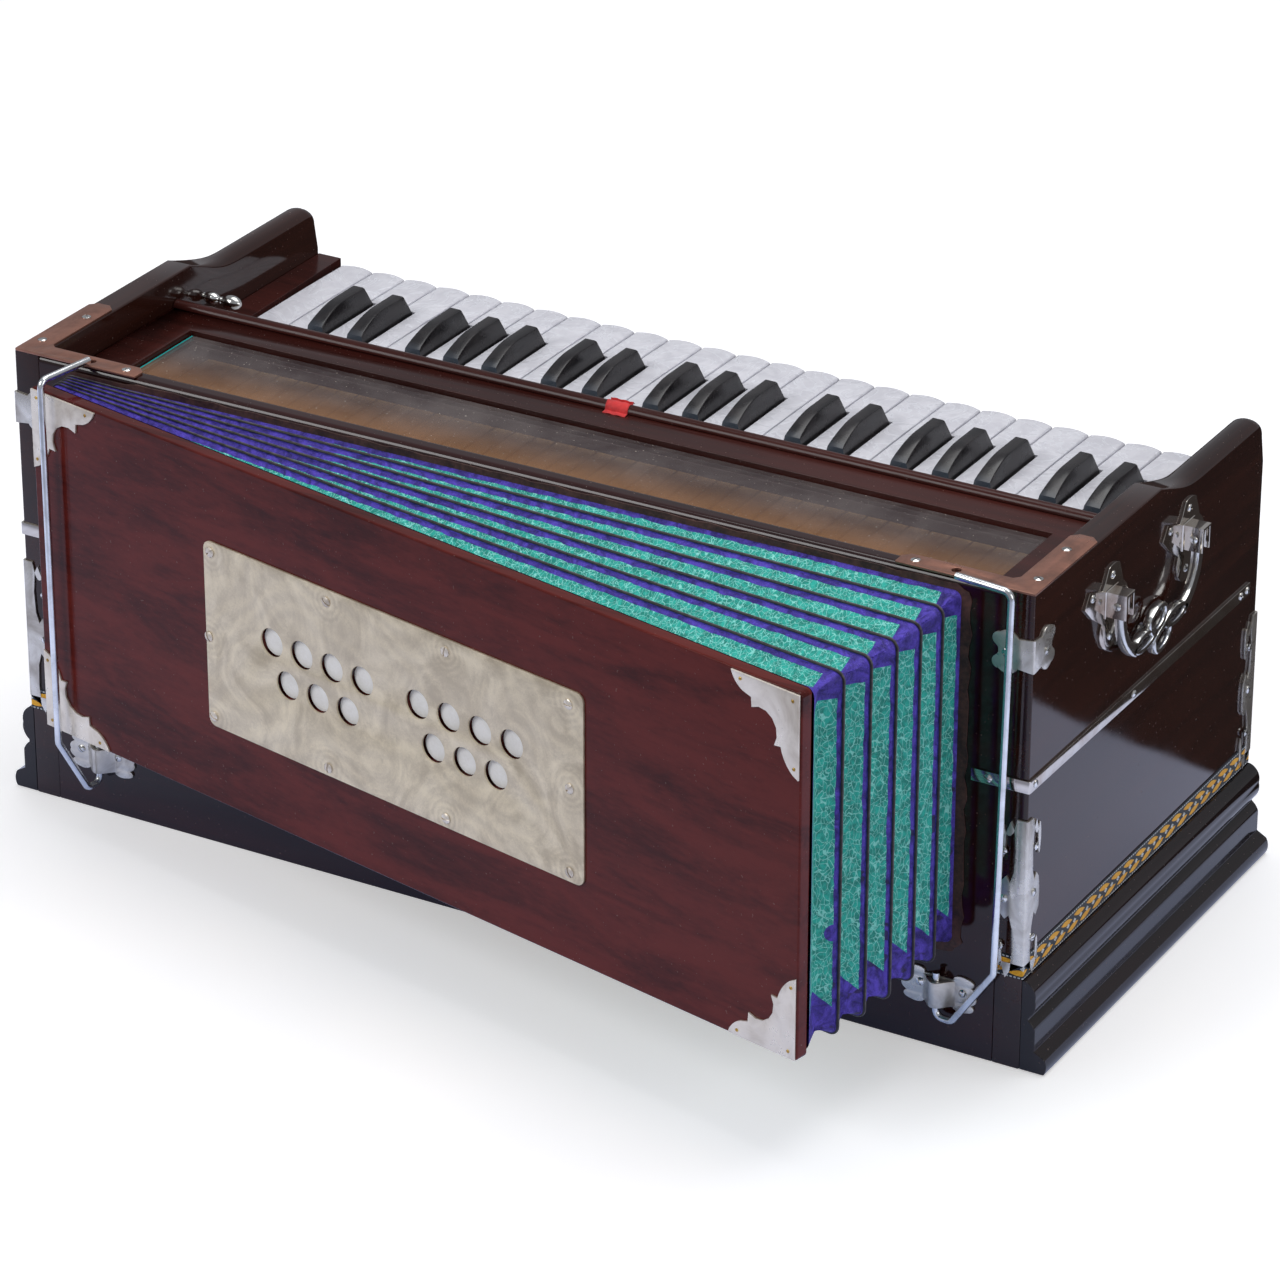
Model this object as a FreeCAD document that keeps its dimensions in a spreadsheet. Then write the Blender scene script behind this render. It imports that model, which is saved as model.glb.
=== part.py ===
import FreeCAD, Part
import math
import os
import re

from FreeCAD import Placement, Rotation, Vector

# Portable bellows organ with 42 keys, pumped by a hinged board.
# X runs along the case, low notes at +X. Y points to the player. Z is up.
# The origin is the middle of the underside. All lengths are millimetres.

CASE = {
    "case_length": 620.0,
    "case_depth": 280.0,
    "case_height": 272.0,
    "cheek_thickness": 16.0,
    "wall_thickness": 12.0,
    "cheek_step_drop": 10.0,
    "cheek_step_start": 148.0,
    "cheek_step_run": 52.0,
    "cheek_bevel": 3.5,
    "nose_radius": 9.0,
    "bead_radius": 4.0,
    "moulding_height": 53.0,
    "moulding_reach": 15.0,
    "seat_gap": 0.3,
    "cut_overrun": 5.0,
    "facet_angle": 45.0,
}
TOP_FRAME = {
    "frame_drop": 19.0,
    "frame_thickness": 13.0,
    "frame_front_rail": 30.0,
    "frame_rear_rail": 28.5,
    "frame_end_rail": 26.5,
    "glass_opening_depth": 66.0,
    "glass_thickness": 3.0,
    "glass_ledge": 5.0,
    "glass_clearance": 1.0,
    "round_rail_radius": 4.0,
}
KEYBOARD = {
    "white_pitch": 22.0,
    "key_gap": 1.0,
    "key_sink": 60.0,
    "lever_thickness": 12.0,
    "white_cover_thickness": 7.0,
    "key_setback": 2.5,
    "head_length": 42.0,
    "head_bulge": 3.0,
    "rail_clearance": 2.0,
    "lever_tail_inset": 8.0,
    "pivot_from_front": 105.0,
    "pallet_length": 26.0,
    "pallet_height": 16.0,
    "pallet_taper": 3.0,
    "sharp_width": 11.0,
    "sharp_top_width": 7.6,
    "sharp_rise": 11.8,
    "sharp_near_rise": 4.6,
    "sharp_slope_run": 6.0,
    "key_block_rise": 1.5,
    "key_block_taper": 3.0,
    "balance_rail_width": 12.0,
}
WIND_CHEST = {
    "reed_board_thickness": 16.0,
    "air_slot_width": 7.0,
    "air_slot_length": 18.0,
    "reed_plate_length": 44.0,
    "reed_plate_thickness": 2.5,
    "reed_plate_gap": 2.5,
    "reservoir_length": 500.0,
    "reservoir_clearance": 34.0,
    "reservoir_height": 60.0,
    "reservoir_pinch": 12.0,
    "reservoir_margin": 20.0,
}
BELLOWS = {
    "board_length": 550.0,
    "board_drop": 6.0,
    "board_thickness": 8.0,
    "board_clearance": 60.0,
    "board_shift": 6.0,
    "board_corner_radius": 3.0,
    "folds_length": 547.0,
    "folds_drop": 5.0,
    "folds_clearance": 62.0,
    "folds_stack": 17.5,
    "folds_corner": 5.0,
    "fold_leaf": 14.0,
    "fold_open_depth": 9.0,
    "hinge_inset": 5.0,
    "open_angle": 12.3,
    "vent_length": 274.0,
    "vent_height": 110.0,
    "vent_thickness": 1.2,
    "vent_corner_radius": 5.0,
    "vent_rise": 102.0,
    "vent_shift": 5.0,
    "vent_hole_radius": 8.2,
    "vent_hole_pitch": 22.3,
    "vent_row_pitch": 21.7,
    "vent_group_offset": 53.5,
    "vent_row_rise": 10.0,
    "vent_well_depth": 4.0,
    "hinge_side_plate_length": 50.0,
    "far_side_plate_length": 44.0,
    "corner_plate_height": 46.5,
    "corner_plate_margin": 1.0,
}
FITTINGS = {
    "steel_thickness": 1.2,
    "top_plate_side_leg": 75.0,
    "top_plate_front_leg": 79.0,
    "top_plate_side_width": 15.5,
    "top_plate_front_width": 12.0,
    "top_plate_chamfer": 4.0,
    "catch_hole_radius": 2.6,
    "catch_hole_inset": 6.0,
    "strap_width": 7.0,
    "strap_drop": 107.0,
    "strap_front_leg": 32.0,
    "strap_rear_inset": 12.0,
    "small_angle_height": 23.0,
    "small_angle_leg": 22.0,
    "small_angle_drop": 22.0,
    "long_angle_height": 84.0,
    "long_angle_leg": 14.5,
    "long_angle_top": 145.5,
    "clip_plate_length": 43.0,
    "clip_plate_height": 21.0,
    "clip_plate_middle": 35.0,
    "clip_axis_inset": 47.0,
    "knuckle_radius": 4.2,
    "knuckle_height": 19.0,
}
CLIPS = {
    "wire_radius": 2.0,
    "wire_clearance": 0.25,
    "clip_foot_height": 20.5,
    "clip_foot_run": 10.0,
    "clip_knee_height": 57.0,
    "clip_bend_radius": 4.5,
    "hook_clearance": 0.6,
    "right_clip_throw": 35.0,
    "right_clip_lean": 3.5,
    "right_hook_length": 33.0,
    "open_clip_angle": 7.0,
    "left_clip_throw": 31.0,
    "left_clip_lean": 0.0,
    "left_hook_length": 37.0,
    "closed_clip_angle": 80.7,
}
HANDLES = {
    "handle_middle": 134.5,
    "handle_span": 93.0,
    "handle_pivot_drop": 39.0,
    "handle_drop": 37.0,
    "handle_stand_off": 7.0,
    "handle_thickness": 5.0,
    "scroll_bar": 3.0,
    "eye_radius": 3.3,
    "pin_radius": 1.5,
    "pin_clearance": 0.08,
    "clevis_length": 10.0,
    "clevis_height": 14.0,
    "clevis_wall": 1.4,
    "clevis_reach": 11.0,
    "back_plate_half_width": 28.3,
    "back_plate_height": 48.0,
    "back_plate_rise": 20.7,
}
KNOBS = {
    "stop_knob_radius": 9.0,
    "stop_knob_length": 18.0,
    "stop_stem_radius": 3.0,
    "stop_stem_clearance": 0.1,
    "stop_stem_inside": 28.0,
    "stop_knob_drop": 46.0,
    "stop_knob_offset": 190.0,
    "coupler_knob_radius": 4.3,
    "coupler_knob_length": 25.0,
    "coupler_stem_radius": 2.2,
    "coupler_stem_inside": 9.0,
    "coupler_stem_clearance": 0.1,
    "coupler_drop": 23.0,
    "coupler_from_front": 159.7,
}

doc = FreeCAD.newDocument("harmonium")
sheet = doc.addObject("Spreadsheet::Sheet", "sizes")


def fill_sheet():
    """Writes every named size into column B with its alias, and its name into column A."""
    row = 0
    for group in (CASE, TOP_FRAME, KEYBOARD, WIND_CHEST, BELLOWS, FITTINGS, CLIPS, HANDLES, KNOBS):
        for alias, value in group.items():
            row += 1
            sheet.set("A%d" % row, alias)
            sheet.set("B%d" % row, str(value))
            sheet.setAlias("B%d" % row, alias)
    doc.recompute()


class SheetReader:
    """Gives a named size from the sheet as a number."""

    def __getattr__(self, alias):
        return float(sheet.get(alias))


fill_sheet()
s = SheetReader()
nodes = []

# Planes that several pieces share
front = -s.case_depth / 2
rear = s.case_depth / 2
cheek_inside = s.case_length / 2 - s.cheek_thickness
frame_top = s.case_height - s.frame_drop
frame_bottom = frame_top - s.frame_thickness
lever_low = s.case_height - s.key_sink
lever_top = lever_low + s.lever_thickness
white_top = lever_top + s.white_cover_thickness
reed_board_top = lever_low - s.pallet_height
stop_z = reed_board_top - s.stop_knob_drop
pivot_z = s.case_height - s.handle_pivot_drop
rail_back = front + s.wall_thickness + s.frame_front_rail + s.glass_opening_depth + s.frame_rear_rail
key_start = rail_back + s.rail_clearance
key_front = rear - s.key_setback
head_start = key_front - s.head_length
tail_end = front + s.wall_thickness + s.lever_tail_inset
pivot_y = front + s.pivot_from_front


def bind(thing, prop, text):
    """Sets an expression in which every sheet name may be written by itself."""
    thing.setExpression(prop, re.sub(r"[a-z]+(?:_[a-z]+)+", lambda m: "sizes." + m.group(), text))


def part_of(thing, label):
    """Marks a document object as a finished sub-part under its own name."""
    thing.Label = label
    nodes.append(thing)
    return thing


def group(label, members):
    """Holds several separate solids of one node together."""
    compound = doc.addObject("Part::Compound", "group_" + label)
    compound.Links = members
    return part_of(compound, label)


def box(name, corner, length, width, height):
    """A board whose three sizes are expressions and whose low corner is given."""
    board = doc.addObject("Part::Box", name)
    bind(board, "Length", length)
    bind(board, "Width", width)
    bind(board, "Height", height)
    board.Placement = Placement(Vector(*corner), Rotation())
    return board


def cylinder(name, base, direction, radius, height):
    """A round rod or bore whose radius and height are expressions."""
    rod = doc.addObject("Part::Cylinder", name)
    bind(rod, "Radius", radius)
    bind(rod, "Height", height)
    rod.Placement = Placement(Vector(*base), Rotation(Vector(0, 0, 1), Vector(*direction)))
    return rod


def cut(name, base, tools):
    """Takes one or several tools away from a base."""
    tool = tools[0]
    if len(tools) > 1:
        tool = doc.addObject("Part::MultiFuse", name + "_tools")
        tool.Shapes = tools
    result = doc.addObject("Part::Cut", name)
    result.Base = base
    result.Tool = tool
    return result


def fuse(name, shapes):
    """Joins pieces that are one solid on the real object."""
    result = doc.addObject("Part::MultiFuse", name)
    result.Shapes = shapes
    return result


def straight_cuts(first, middle, last):
    """Points along an arc, so close that no cut turns by more than the facet angle."""
    arc = Part.Arc(Vector(*first), Vector(*middle), Vector(*last))
    span = arc.LastParameter - arc.FirstParameter
    count = max(2, math.ceil(math.degrees(span) / s.facet_angle))
    stops = [arc.FirstParameter + span * i / count for i in range(count + 1)]
    points = [arc.value(stop) for stop in stops]
    if math.dist(points[0], (first[0], first[1], 0)) > math.dist(points[-1], (first[0], first[1], 0)):
        points.reverse()
    return [(point.x, point.y) for point in points[1:-1]] + [last]


def curves(outline, faceted):
    """Edges of a closed outline: a point draws a line to it, a (middle, end) pair an arc or straight cuts."""
    edges = []
    start = outline[0]
    here = start
    for step in outline[1:] + [start]:
        if isinstance(step[0], tuple) and not faceted:
            middle, end = step
            edges.append(Part.Arc(Vector(*here), Vector(*middle), Vector(*end)))
            here = end
            continue
        ends = straight_cuts(here, *step) if isinstance(step[0], tuple) else [step]
        for end in ends:
            if math.dist(here, end) > 0:
                edges.append(Part.LineSegment(Vector(*here), Vector(*end)))
            here = end
    return edges


def rounded(corners, radius):
    """The outline of a polygon with every corner rounded by the same radius."""
    outline = []
    count = len(corners)
    for i, corner in enumerate(corners):
        here = Vector(*corner)
        arms = [(Vector(*corners[j % count]) - here).normalize() for j in (i - 1, i + 1)]
        turn = math.acos(max(-1, min(1, arms[0].dot(arms[1]))))
        reach = radius / math.tan(turn / 2)
        inward = (arms[0] + arms[1]).normalize()
        bulge = here + inward * (radius / math.sin(turn / 2) - radius)
        first = here + arms[0] * reach
        last = here + arms[1] * reach
        outline.append((first.x, first.y))
        outline.append(((bulge.x, bulge.y), (last.x, last.y)))
    return outline


def turned(outline, angle, centre):
    """An outline turned about the origin and then moved to a centre."""

    def moved(point):
        x = point[0] * math.cos(angle) - point[1] * math.sin(angle)
        y = point[0] * math.sin(angle) + point[1] * math.cos(angle)
        return (x + centre[0], y + centre[1])

    return [tuple(moved(p) for p in step) if isinstance(step[0], tuple) else moved(step) for step in outline]


def scaled(outline, width, height):
    """An outline given as shares of a width and a height, drawn at full size."""

    def sized(point):
        return (point[0] * width, point[1] * height)

    return [tuple(sized(p) for p in step) if isinstance(step[0], tuple) else sized(step) for step in outline]


def shifted(outline, dx, dy):
    """The same outline somewhere else."""
    return turned(outline, 0, (dx, dy))


def mirrored(outline):
    """The outline reflected in the sketch's upright axis."""
    return scaled(outline, -1, 1)


def round_hole(centre, radius):
    """A punched hole, drawn with twelve sides."""
    sides = 12
    turns = [2 * math.pi * i / sides for i in range(sides)]
    return shifted([(radius * math.cos(turn), radius * math.sin(turn)) for turn in turns], *centre)


PLANES = {"XY": ("XY_Plane", 1), "XZ": ("XZ_Plane", -1), "YZ": ("YZ_Plane", 1)}


def sketch_on(body, plane, at, outlines, faceted=False):
    """A sketch on one of the body's own planes, pushed along the world axis to a place."""
    role, sign = PLANES[plane]
    support = [f for f in body.Origin.OriginFeatures if f.Role == role][0]
    sketch = body.newObject("Sketcher::SketchObject", body.Name + "_sketch")
    sketch.AttachmentSupport = [(support, "")]
    sketch.MapMode = "FlatFace"
    sketch.AttachmentOffset = Placement(Vector(0, 0, sign * at), Rotation())
    for outline in outlines:
        sketch.addGeometry(curves(outline, faceted), False)
    return sketch


def pad(name, plane, at, outlines, length, faceted=False):
    """A body with one sketch padded along the positive axis. Later outlines are holes."""
    body = doc.addObject("PartDesign::Body", name)
    sketch = sketch_on(body, plane, at, outlines, faceted)
    feature = body.newObject("PartDesign::Pad", name + "_pad")
    feature.Profile = sketch
    bind(feature, "Length", length)
    feature.Reversed = plane == "XZ"
    return body


def turned_piece(name, profile):
    """A body revolved about X from a half profile of (along, radius) points."""
    body = doc.addObject("PartDesign::Body", name)
    sketch = sketch_on(body, "XY", 0, [profile])
    feature = body.newObject("PartDesign::Revolution", name + "_turning")
    feature.Profile = sketch
    feature.ReferenceAxis = (sketch, ["H_Axis"])
    feature.Angle = 360
    return body


def mirror_copy(name, source):
    """The same solid on the other side of the middle plane x = 0."""
    mirror = doc.addObject("Part::Mirroring", name)
    mirror.Source = source
    mirror.Base = Vector(0, 0, 0)
    mirror.Normal = Vector(1, 0, 0)
    return mirror


# Case


def case_walls():
    """The board behind the bellows, with a rounded top bead, and the player's wall with its stop holes."""
    span = "case_length - 2 * cheek_thickness"
    top = s.case_height
    bead = s.bead_radius
    soft = bead * (1 - math.sqrt(0.5))
    back = front + s.wall_thickness
    profile = [
        (front, 0),
        (back, 0),
        (back, top - bead),
        ((back - soft, top - soft), (back - bead, top)),
        (front + bead, top),
        ((front + soft, top - soft), (front, top - bead)),
    ]
    bellows_side = pad("bellows_side_wall", "YZ", -cheek_inside, [profile], span)
    corner = (-cheek_inside, rear - s.wall_thickness, 0)
    plain = box("player_wall_plain", corner, span, "wall_thickness", "case_height - key_sink - pallet_height")
    holes = []
    for side in (-1, 1):
        start = (side * s.stop_knob_offset, rear - s.wall_thickness - s.cut_overrun, stop_z)
        depth = "wall_thickness + 2 * cut_overrun"
        holes.append(cylinder("stop_hole", start, (0, 1, 0), "stop_stem_radius + stop_stem_clearance", depth))
    group("case_walls", [bellows_side, cut("player_wall", plain, holes)])


def case_base():
    """The bottom board and the stepped moulding along each side."""
    bottom = box(
        "bottom_board",
        (-cheek_inside, front + s.wall_thickness, 0),
        "case_length - 2 * cheek_thickness",
        "case_depth - 2 * wall_thickness",
        "wall_thickness",
    )
    # Shares of reach and height: toe, upright band, quirk, cove and a round shoulder.
    moulding_shares = [
        (0.0, 0.0),
        (0.93, 0.0),
        ((1.02, 0.09), (0.93, 0.18)),
        (0.55, 0.24),
        (0.55, 0.47),
        ((0.46, 0.52), (0.28, 0.57)),
        (0.28, 0.6),
        ((0.5, 0.68), (0.52, 0.8)),
        ((0.42, 0.94), (0.12, 1.0)),
        (0.0, 1.0),
    ]
    outline = scaled(moulding_shares, s.moulding_reach, s.moulding_height)
    right = pad("right_moulding", "XZ", front, [shifted(outline, s.case_length / 2, 0)], "case_depth")
    left = mirror_copy("left_moulding", right)
    group("case_base", [bottom, right, left])


def cheek(name, low_x):
    """An end board: high beside the glass, then a hollow step to a low end, bevelled and round-nosed."""
    high = s.case_height
    low = high - s.cheek_step_drop
    start = front + s.cheek_step_start
    foot = start + s.cheek_step_run
    sweep = math.atan2(high - low, s.cheek_step_run)
    radius = s.cheek_step_run / math.sin(2 * sweep)
    hollow = (foot - radius * math.sin(sweep), low + radius * (1 - math.cos(sweep)))
    nose = s.nose_radius
    soft = nose * (1 - math.sqrt(0.5))
    outline = [
        (front, 0),
        (rear, 0),
        (rear, low - nose),
        ((rear - soft, low - soft), (rear - nose, low)),
        (foot, low),
        (hollow, (start, high)),
        (front, high),
    ]
    board = pad(name, "YZ", low_x, [outline], "cheek_thickness")
    doc.recompute()
    plain = board.Tip
    top_edges = ["Edge%d" % n for n, edge in enumerate(plain.Shape.Edges, 1) if runs_along(edge, low)]
    bevel = board.newObject("PartDesign::Chamfer", name + "_bevels")
    bevel.Base = (plain, top_edges)
    bind(bevel, "Size", "cheek_bevel")
    return board


def runs_along(edge, height):
    """True for an edge that runs along Y at a height."""
    first, last = (vertex.Point for vertex in edge.Vertexes)
    return abs(first.z - height) + abs(last.z - height) < s.seat_gap < abs(first.y - last.y)


def side_cheeks():
    """The two end boards, the treble one with the bore for the coupler knob."""
    right = cheek("right_cheek", cheek_inside)
    plain = cheek("left_cheek_plain", -s.case_length / 2)
    start = (-cheek_inside + s.cut_overrun, front + s.coupler_from_front, s.case_height - s.coupler_drop)
    depth = "coupler_stem_inside + seat_gap + cut_overrun"
    bore = cylinder("coupler_bore", start, (-1, 0, 0), "coupler_stem_radius + coupler_stem_clearance", depth)
    group("side_cheeks", [right, cut("left_cheek", plain, [bore])])


def top_frame():
    """The sunk frame round the glass, with its ledge, and the half-round rail over the keys."""
    length = "case_length - 2 * cheek_thickness - 2 * seat_gap"
    half = cheek_inside - s.seat_gap
    near = front + s.wall_thickness
    depth = "frame_front_rail + glass_opening_depth + frame_rear_rail"
    board = box("frame_board", (-half, near, frame_bottom), length, depth, "frame_thickness")
    opening_half = cheek_inside - s.frame_end_rail
    opening_near = near + s.frame_front_rail
    ledge_top = frame_top - 2 * s.glass_thickness
    upper = box(
        "glass_rebate",
        (-opening_half, opening_near, ledge_top),
        "case_length - 2 * cheek_thickness - 2 * frame_end_rail",
        "glass_opening_depth",
        "2 * glass_thickness + cut_overrun",
    )
    lower = box(
        "glass_window",
        (-opening_half + s.glass_ledge, opening_near + s.glass_ledge, frame_bottom - s.cut_overrun),
        "case_length - 2 * cheek_thickness - 2 * frame_end_rail - 2 * glass_ledge",
        "glass_opening_depth - 2 * glass_ledge",
        "frame_thickness + cut_overrun",
    )
    radius = s.round_rail_radius
    rail_near = rail_back - 2 * radius
    rail_profile = [(rail_near, frame_top), (rail_back, frame_top)]
    rail_profile.append(((rail_back - radius, frame_top + radius), (rail_near, frame_top)))
    rail = pad("round_rail", "YZ", -half, [rail_profile], length)
    group("top_frame", [cut("glass_frame", board, [upper, lower]), rail])
    glass = box(
        "glass_pane",
        (-opening_half + s.glass_clearance, opening_near + s.glass_clearance, ledge_top),
        "case_length - 2 * cheek_thickness - 2 * frame_end_rail - 2 * glass_clearance",
        "glass_opening_depth - 2 * glass_clearance",
        "glass_thickness",
    )
    part_of(glass, "top_glass")


# Keys

# One octave from C: name, sharp or not, slot among the tails of its half octave.
OCTAVE = [
    ("c", False, 0, 0),
    ("c_sharp", True, 0, 1),
    ("d", False, 0, 2),
    ("d_sharp", True, 0, 3),
    ("e", False, 0, 4),
    ("f", False, 1, 0),
    ("f_sharp", True, 1, 1),
    ("g", False, 1, 2),
    ("g_sharp", True, 1, 3),
    ("a", False, 1, 4),
    ("a_sharp", True, 1, 5),
    ("b", False, 1, 6),
]
LOWER_WHITES = 3
UPPER_WHITES = 4
LOWER_TAILS = 5
UPPER_TAILS = 7
KEY_COUNT = 42
WHITE_COUNT = 25
keyboard_half = s.white_pitch * WHITE_COUNT / 2


def keyboard_plan():
    """For each key: its name, whether it is a sharp, and the X range of its tail and of its head."""
    plan = []
    low_edge = keyboard_half
    white = 0
    for index in range(KEY_COUNT):
        octave, step = divmod(index, len(OCTAVE))
        name, sharp, half_octave, slot = OCTAVE[step]
        octave_start = octave * (LOWER_WHITES + UPPER_WHITES) * s.white_pitch
        if half_octave == 0:
            slot_width = LOWER_WHITES * s.white_pitch / LOWER_TAILS
            tail_low = octave_start + slot * slot_width
        else:
            slot_width = UPPER_WHITES * s.white_pitch / UPPER_TAILS
            tail_low = octave_start + LOWER_WHITES * s.white_pitch + slot * slot_width
        tail_high = tail_low + slot_width
        if index == KEY_COUNT - 1:
            tail_high = tail_low + s.white_pitch
        head = None
        if not sharp:
            head = (low_edge - (white + 1) * s.white_pitch, low_edge - white * s.white_pitch)
            white += 1
        label = "key_%s_%d" % (name, octave + 1)
        plan.append((label, sharp, (low_edge - tail_high, low_edge - tail_low), head))
    return plan


def lever_and_pallet(name, low_x, width, lever_end):
    """The wooden lever of one key and the leathered pallet under its tail."""
    pallet_end = tail_end + s.pallet_length
    outline = [
        (tail_end, reed_board_top),
        (pallet_end, reed_board_top),
        (pallet_end - s.pallet_taper, lever_low),
        (tail_end + s.pallet_taper, lever_low),
    ]
    pallet = doc.addObject("PartDesign::Body", name + "_pallet")
    sketch = sketch_on(pallet, "YZ", low_x, [outline])
    feature = pallet.newObject("PartDesign::Pad", name + "_pallet_pad")
    feature.Profile = sketch
    feature.Length = width
    lever = doc.addObject("Part::Box", name + "_lever")
    lever.Length = width
    lever.Width = lever_end - tail_end
    bind(lever, "Height", "lever_thickness")
    lever.Placement = Placement(Vector(low_x, tail_end, lever_low), Rotation())
    return [pallet, lever]


def white_key(name, tail, head):
    """A natural: lever and pallet, a narrow tail cover and a deep head with an arched front."""
    half_gap = s.key_gap / 2
    low_x = tail[0] + half_gap
    width = tail[1] - tail[0] - s.key_gap
    tail_plate = doc.addObject("Part::Box", name + "_tail_plate")
    tail_plate.Length = width
    tail_plate.Width = head_start - key_start
    bind(tail_plate, "Height", "white_cover_thickness")
    tail_plate.Placement = Placement(Vector(low_x, key_start, lever_top), Rotation())
    low = head[0] + half_gap
    high = head[1] - half_gap
    shoulder = key_front - s.head_bulge
    plan = [(low, head_start), (high, head_start), (high, shoulder)]
    plan.append((((low + high) / 2, key_front), (low, shoulder)))
    head_height = "lever_thickness + white_cover_thickness"
    head_block = pad(name + "_head", "XY", lever_low, [plan], head_height, True)
    group(name, lever_and_pallet(name, low_x, width, head_start) + [tail_plate, head_block])


def black_key(name, tail):
    """A sharp: a low shelf from the rail, then a cover that swells up, runs level and slopes off."""
    middle = (tail[0] + tail[1]) / 2
    top = white_top + s.sharp_rise
    near = white_top + s.sharp_near_rise
    far = head_start - s.key_gap
    shelf_share = 0.448
    riser = key_start + (far - key_start) * shelf_share
    raised = far - riser
    level_share = 0.5
    swell_shares = (0.21, 0.61)
    swell = (riser + raised * swell_shares[0], near + (top - near) * swell_shares[1])
    outline = [
        (key_start, lever_top),
        (far, lever_top),
        (far, white_top),
        (far - s.sharp_slope_run, top),
        (riser + raised * level_share, top),
        (swell, (riser, near)),
        (riser, white_top),
        (key_start, white_top),
    ]
    half = s.sharp_width / 2
    half_top = s.sharp_top_width / 2
    end_view = [
        (middle - half, lever_top),
        (middle + half, lever_top),
        (middle + half, white_top),
        (middle + half_top, top),
        (middle - half_top, top),
        (middle - half, white_top),
    ]
    side = pad(name + "_side", "YZ", middle - half, [outline], "sharp_width", True)
    section = pad(name + "_section", "XZ", key_start, [end_view], "case_depth")
    cover = doc.addObject("Part::Common", name + "_cover")
    cover.Base = side
    cover.Tool = section
    group(name, lever_and_pallet(name, middle - half, s.sharp_width, far) + [cover])


def keys():
    """All keys, one node each, from the lowest note at +X to the highest at -X."""
    for name, sharp, tail, head in keyboard_plan():
        if sharp:
            black_key(name, tail)
        else:
            white_key(name, tail, head)


# Wind chest and reeds

chest_half = cheek_inside - s.seat_gap
chest_length = "case_length - 2 * cheek_thickness - 2 * seat_gap"
reed_board_low = reed_board_top - s.reed_board_thickness
RESERVOIR_PLEATS = 2


def air_slots():
    """The cutters for the slots that the pallets close."""
    slots = []
    slot_near = tail_end + (s.pallet_length - s.air_slot_length) / 2
    for name, sharp, tail, head in keyboard_plan():
        middle = (tail[0] + tail[1]) / 2
        corner = (middle - s.air_slot_width / 2, slot_near, reed_board_low - s.cut_overrun)
        depth = "reed_board_thickness + 2 * cut_overrun"
        slots.append(box(name + "_air_slot", corner, "air_slot_width", "air_slot_length", depth))
    return slots


def wind_chest():
    """The slotted reed board, what stands on it to carry keys and frame, and the pleated inner bellows."""
    near = front + s.wall_thickness
    depth = "case_depth - 2 * wall_thickness"
    corner = (-chest_half, near, reed_board_low)
    plain = box("reed_board_plain", corner, chest_length, depth, "reed_board_thickness")
    reed_board = cut("reed_board", plain, air_slots())

    ridge = s.balance_rail_width / 2
    crown = lever_low - s.seat_gap
    rail_profile = [
        (pivot_y - ridge, reed_board_top),
        (pivot_y + ridge, reed_board_top),
        (pivot_y + ridge, crown - ridge),
        ((pivot_y, crown), (pivot_y - ridge, crown - ridge)),
    ]
    balance_rail = pad("balance_rail", "YZ", -keyboard_half, [rail_profile], "white_pitch * %d" % WHITE_COUNT)

    end_corner = (chest_half - s.wall_thickness, near, reed_board_top)
    end_depth = "frame_front_rail + glass_opening_depth + frame_rear_rail"
    end_height = "key_sink + pallet_height - frame_drop - frame_thickness"
    right_end = box("right_chest_end", end_corner, "wall_thickness", end_depth, end_height)

    block_near = keyboard_half + s.key_gap / 2
    block_plan = [
        (block_near, key_start),
        (chest_half, key_start),
        (chest_half, rear),
        (block_near + s.key_block_taper, rear),
    ]
    block_height = "pallet_height + lever_thickness + white_cover_thickness + key_block_rise"
    right_block = pad("right_key_block", "XY", reed_board_top, [block_plan], block_height)

    half = s.reservoir_length / 2
    pinched = half - s.reservoir_pinch
    leaves = 2 * RESERVOIR_PLEATS
    leaf = s.reservoir_height / leaves
    right_edge = [(pinched if i % 2 else half, reed_board_low - i * leaf) for i in range(leaves + 1)]
    left_edge = [(-x, z) for x, z in reversed(right_edge)]
    near = tail_end + s.reed_plate_length + s.reservoir_clearance
    inset = "2 * wall_thickness + reservoir_margin + lever_tail_inset"
    depth = "case_depth - (%s) - reed_plate_length - reservoir_clearance" % inset
    reservoir = pad("reservoir", "XZ", near, [right_edge + left_edge], depth)

    pieces = [reed_board, balance_rail, right_end, mirror_copy("left_chest_end", right_end)]
    pieces += [right_block, mirror_copy("left_key_block", right_block), reservoir]
    group("wind_chest", pieces)


def reed_plates():
    """One brass reed plate under the reed board for each key."""
    plates = []
    for name, sharp, tail, head in keyboard_plan():
        width = tail[1] - tail[0] - s.reed_plate_gap
        plate = doc.addObject("Part::Box", name + "_reed")
        plate.Length = width
        bind(plate, "Width", "reed_plate_length")
        bind(plate, "Height", "reed_plate_thickness")
        corner = Vector(tail[0] + s.reed_plate_gap / 2, tail_end, reed_board_low - s.reed_plate_thickness)
        plate.Placement = Placement(corner, Rotation())
        plates.append(plate)
    group("reed_plates", plates)


# Bellows, drawn closed and then swung open about the hinge line

board_left = -s.board_length / 2 - s.board_shift
folds_left = board_left + s.hinge_inset
hinge_y = front - s.folds_stack
board_face = hinge_y - s.board_thickness
board_low = s.board_clearance
board_top = s.case_height - s.board_drop
vent_z = board_low + s.vent_rise
vent_middle = board_left + s.board_length / 2 - s.vent_shift


def swung(share):
    """The placement that opens a closed-pose piece by a share of the full angle."""
    turn = Rotation(Vector(0, 0, 1), -s.open_angle * share)
    return Placement(Vector(0, 0, 0), turn, Vector(folds_left, hinge_y, 0))


VENT_ROWS = (4, 3)


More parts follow.
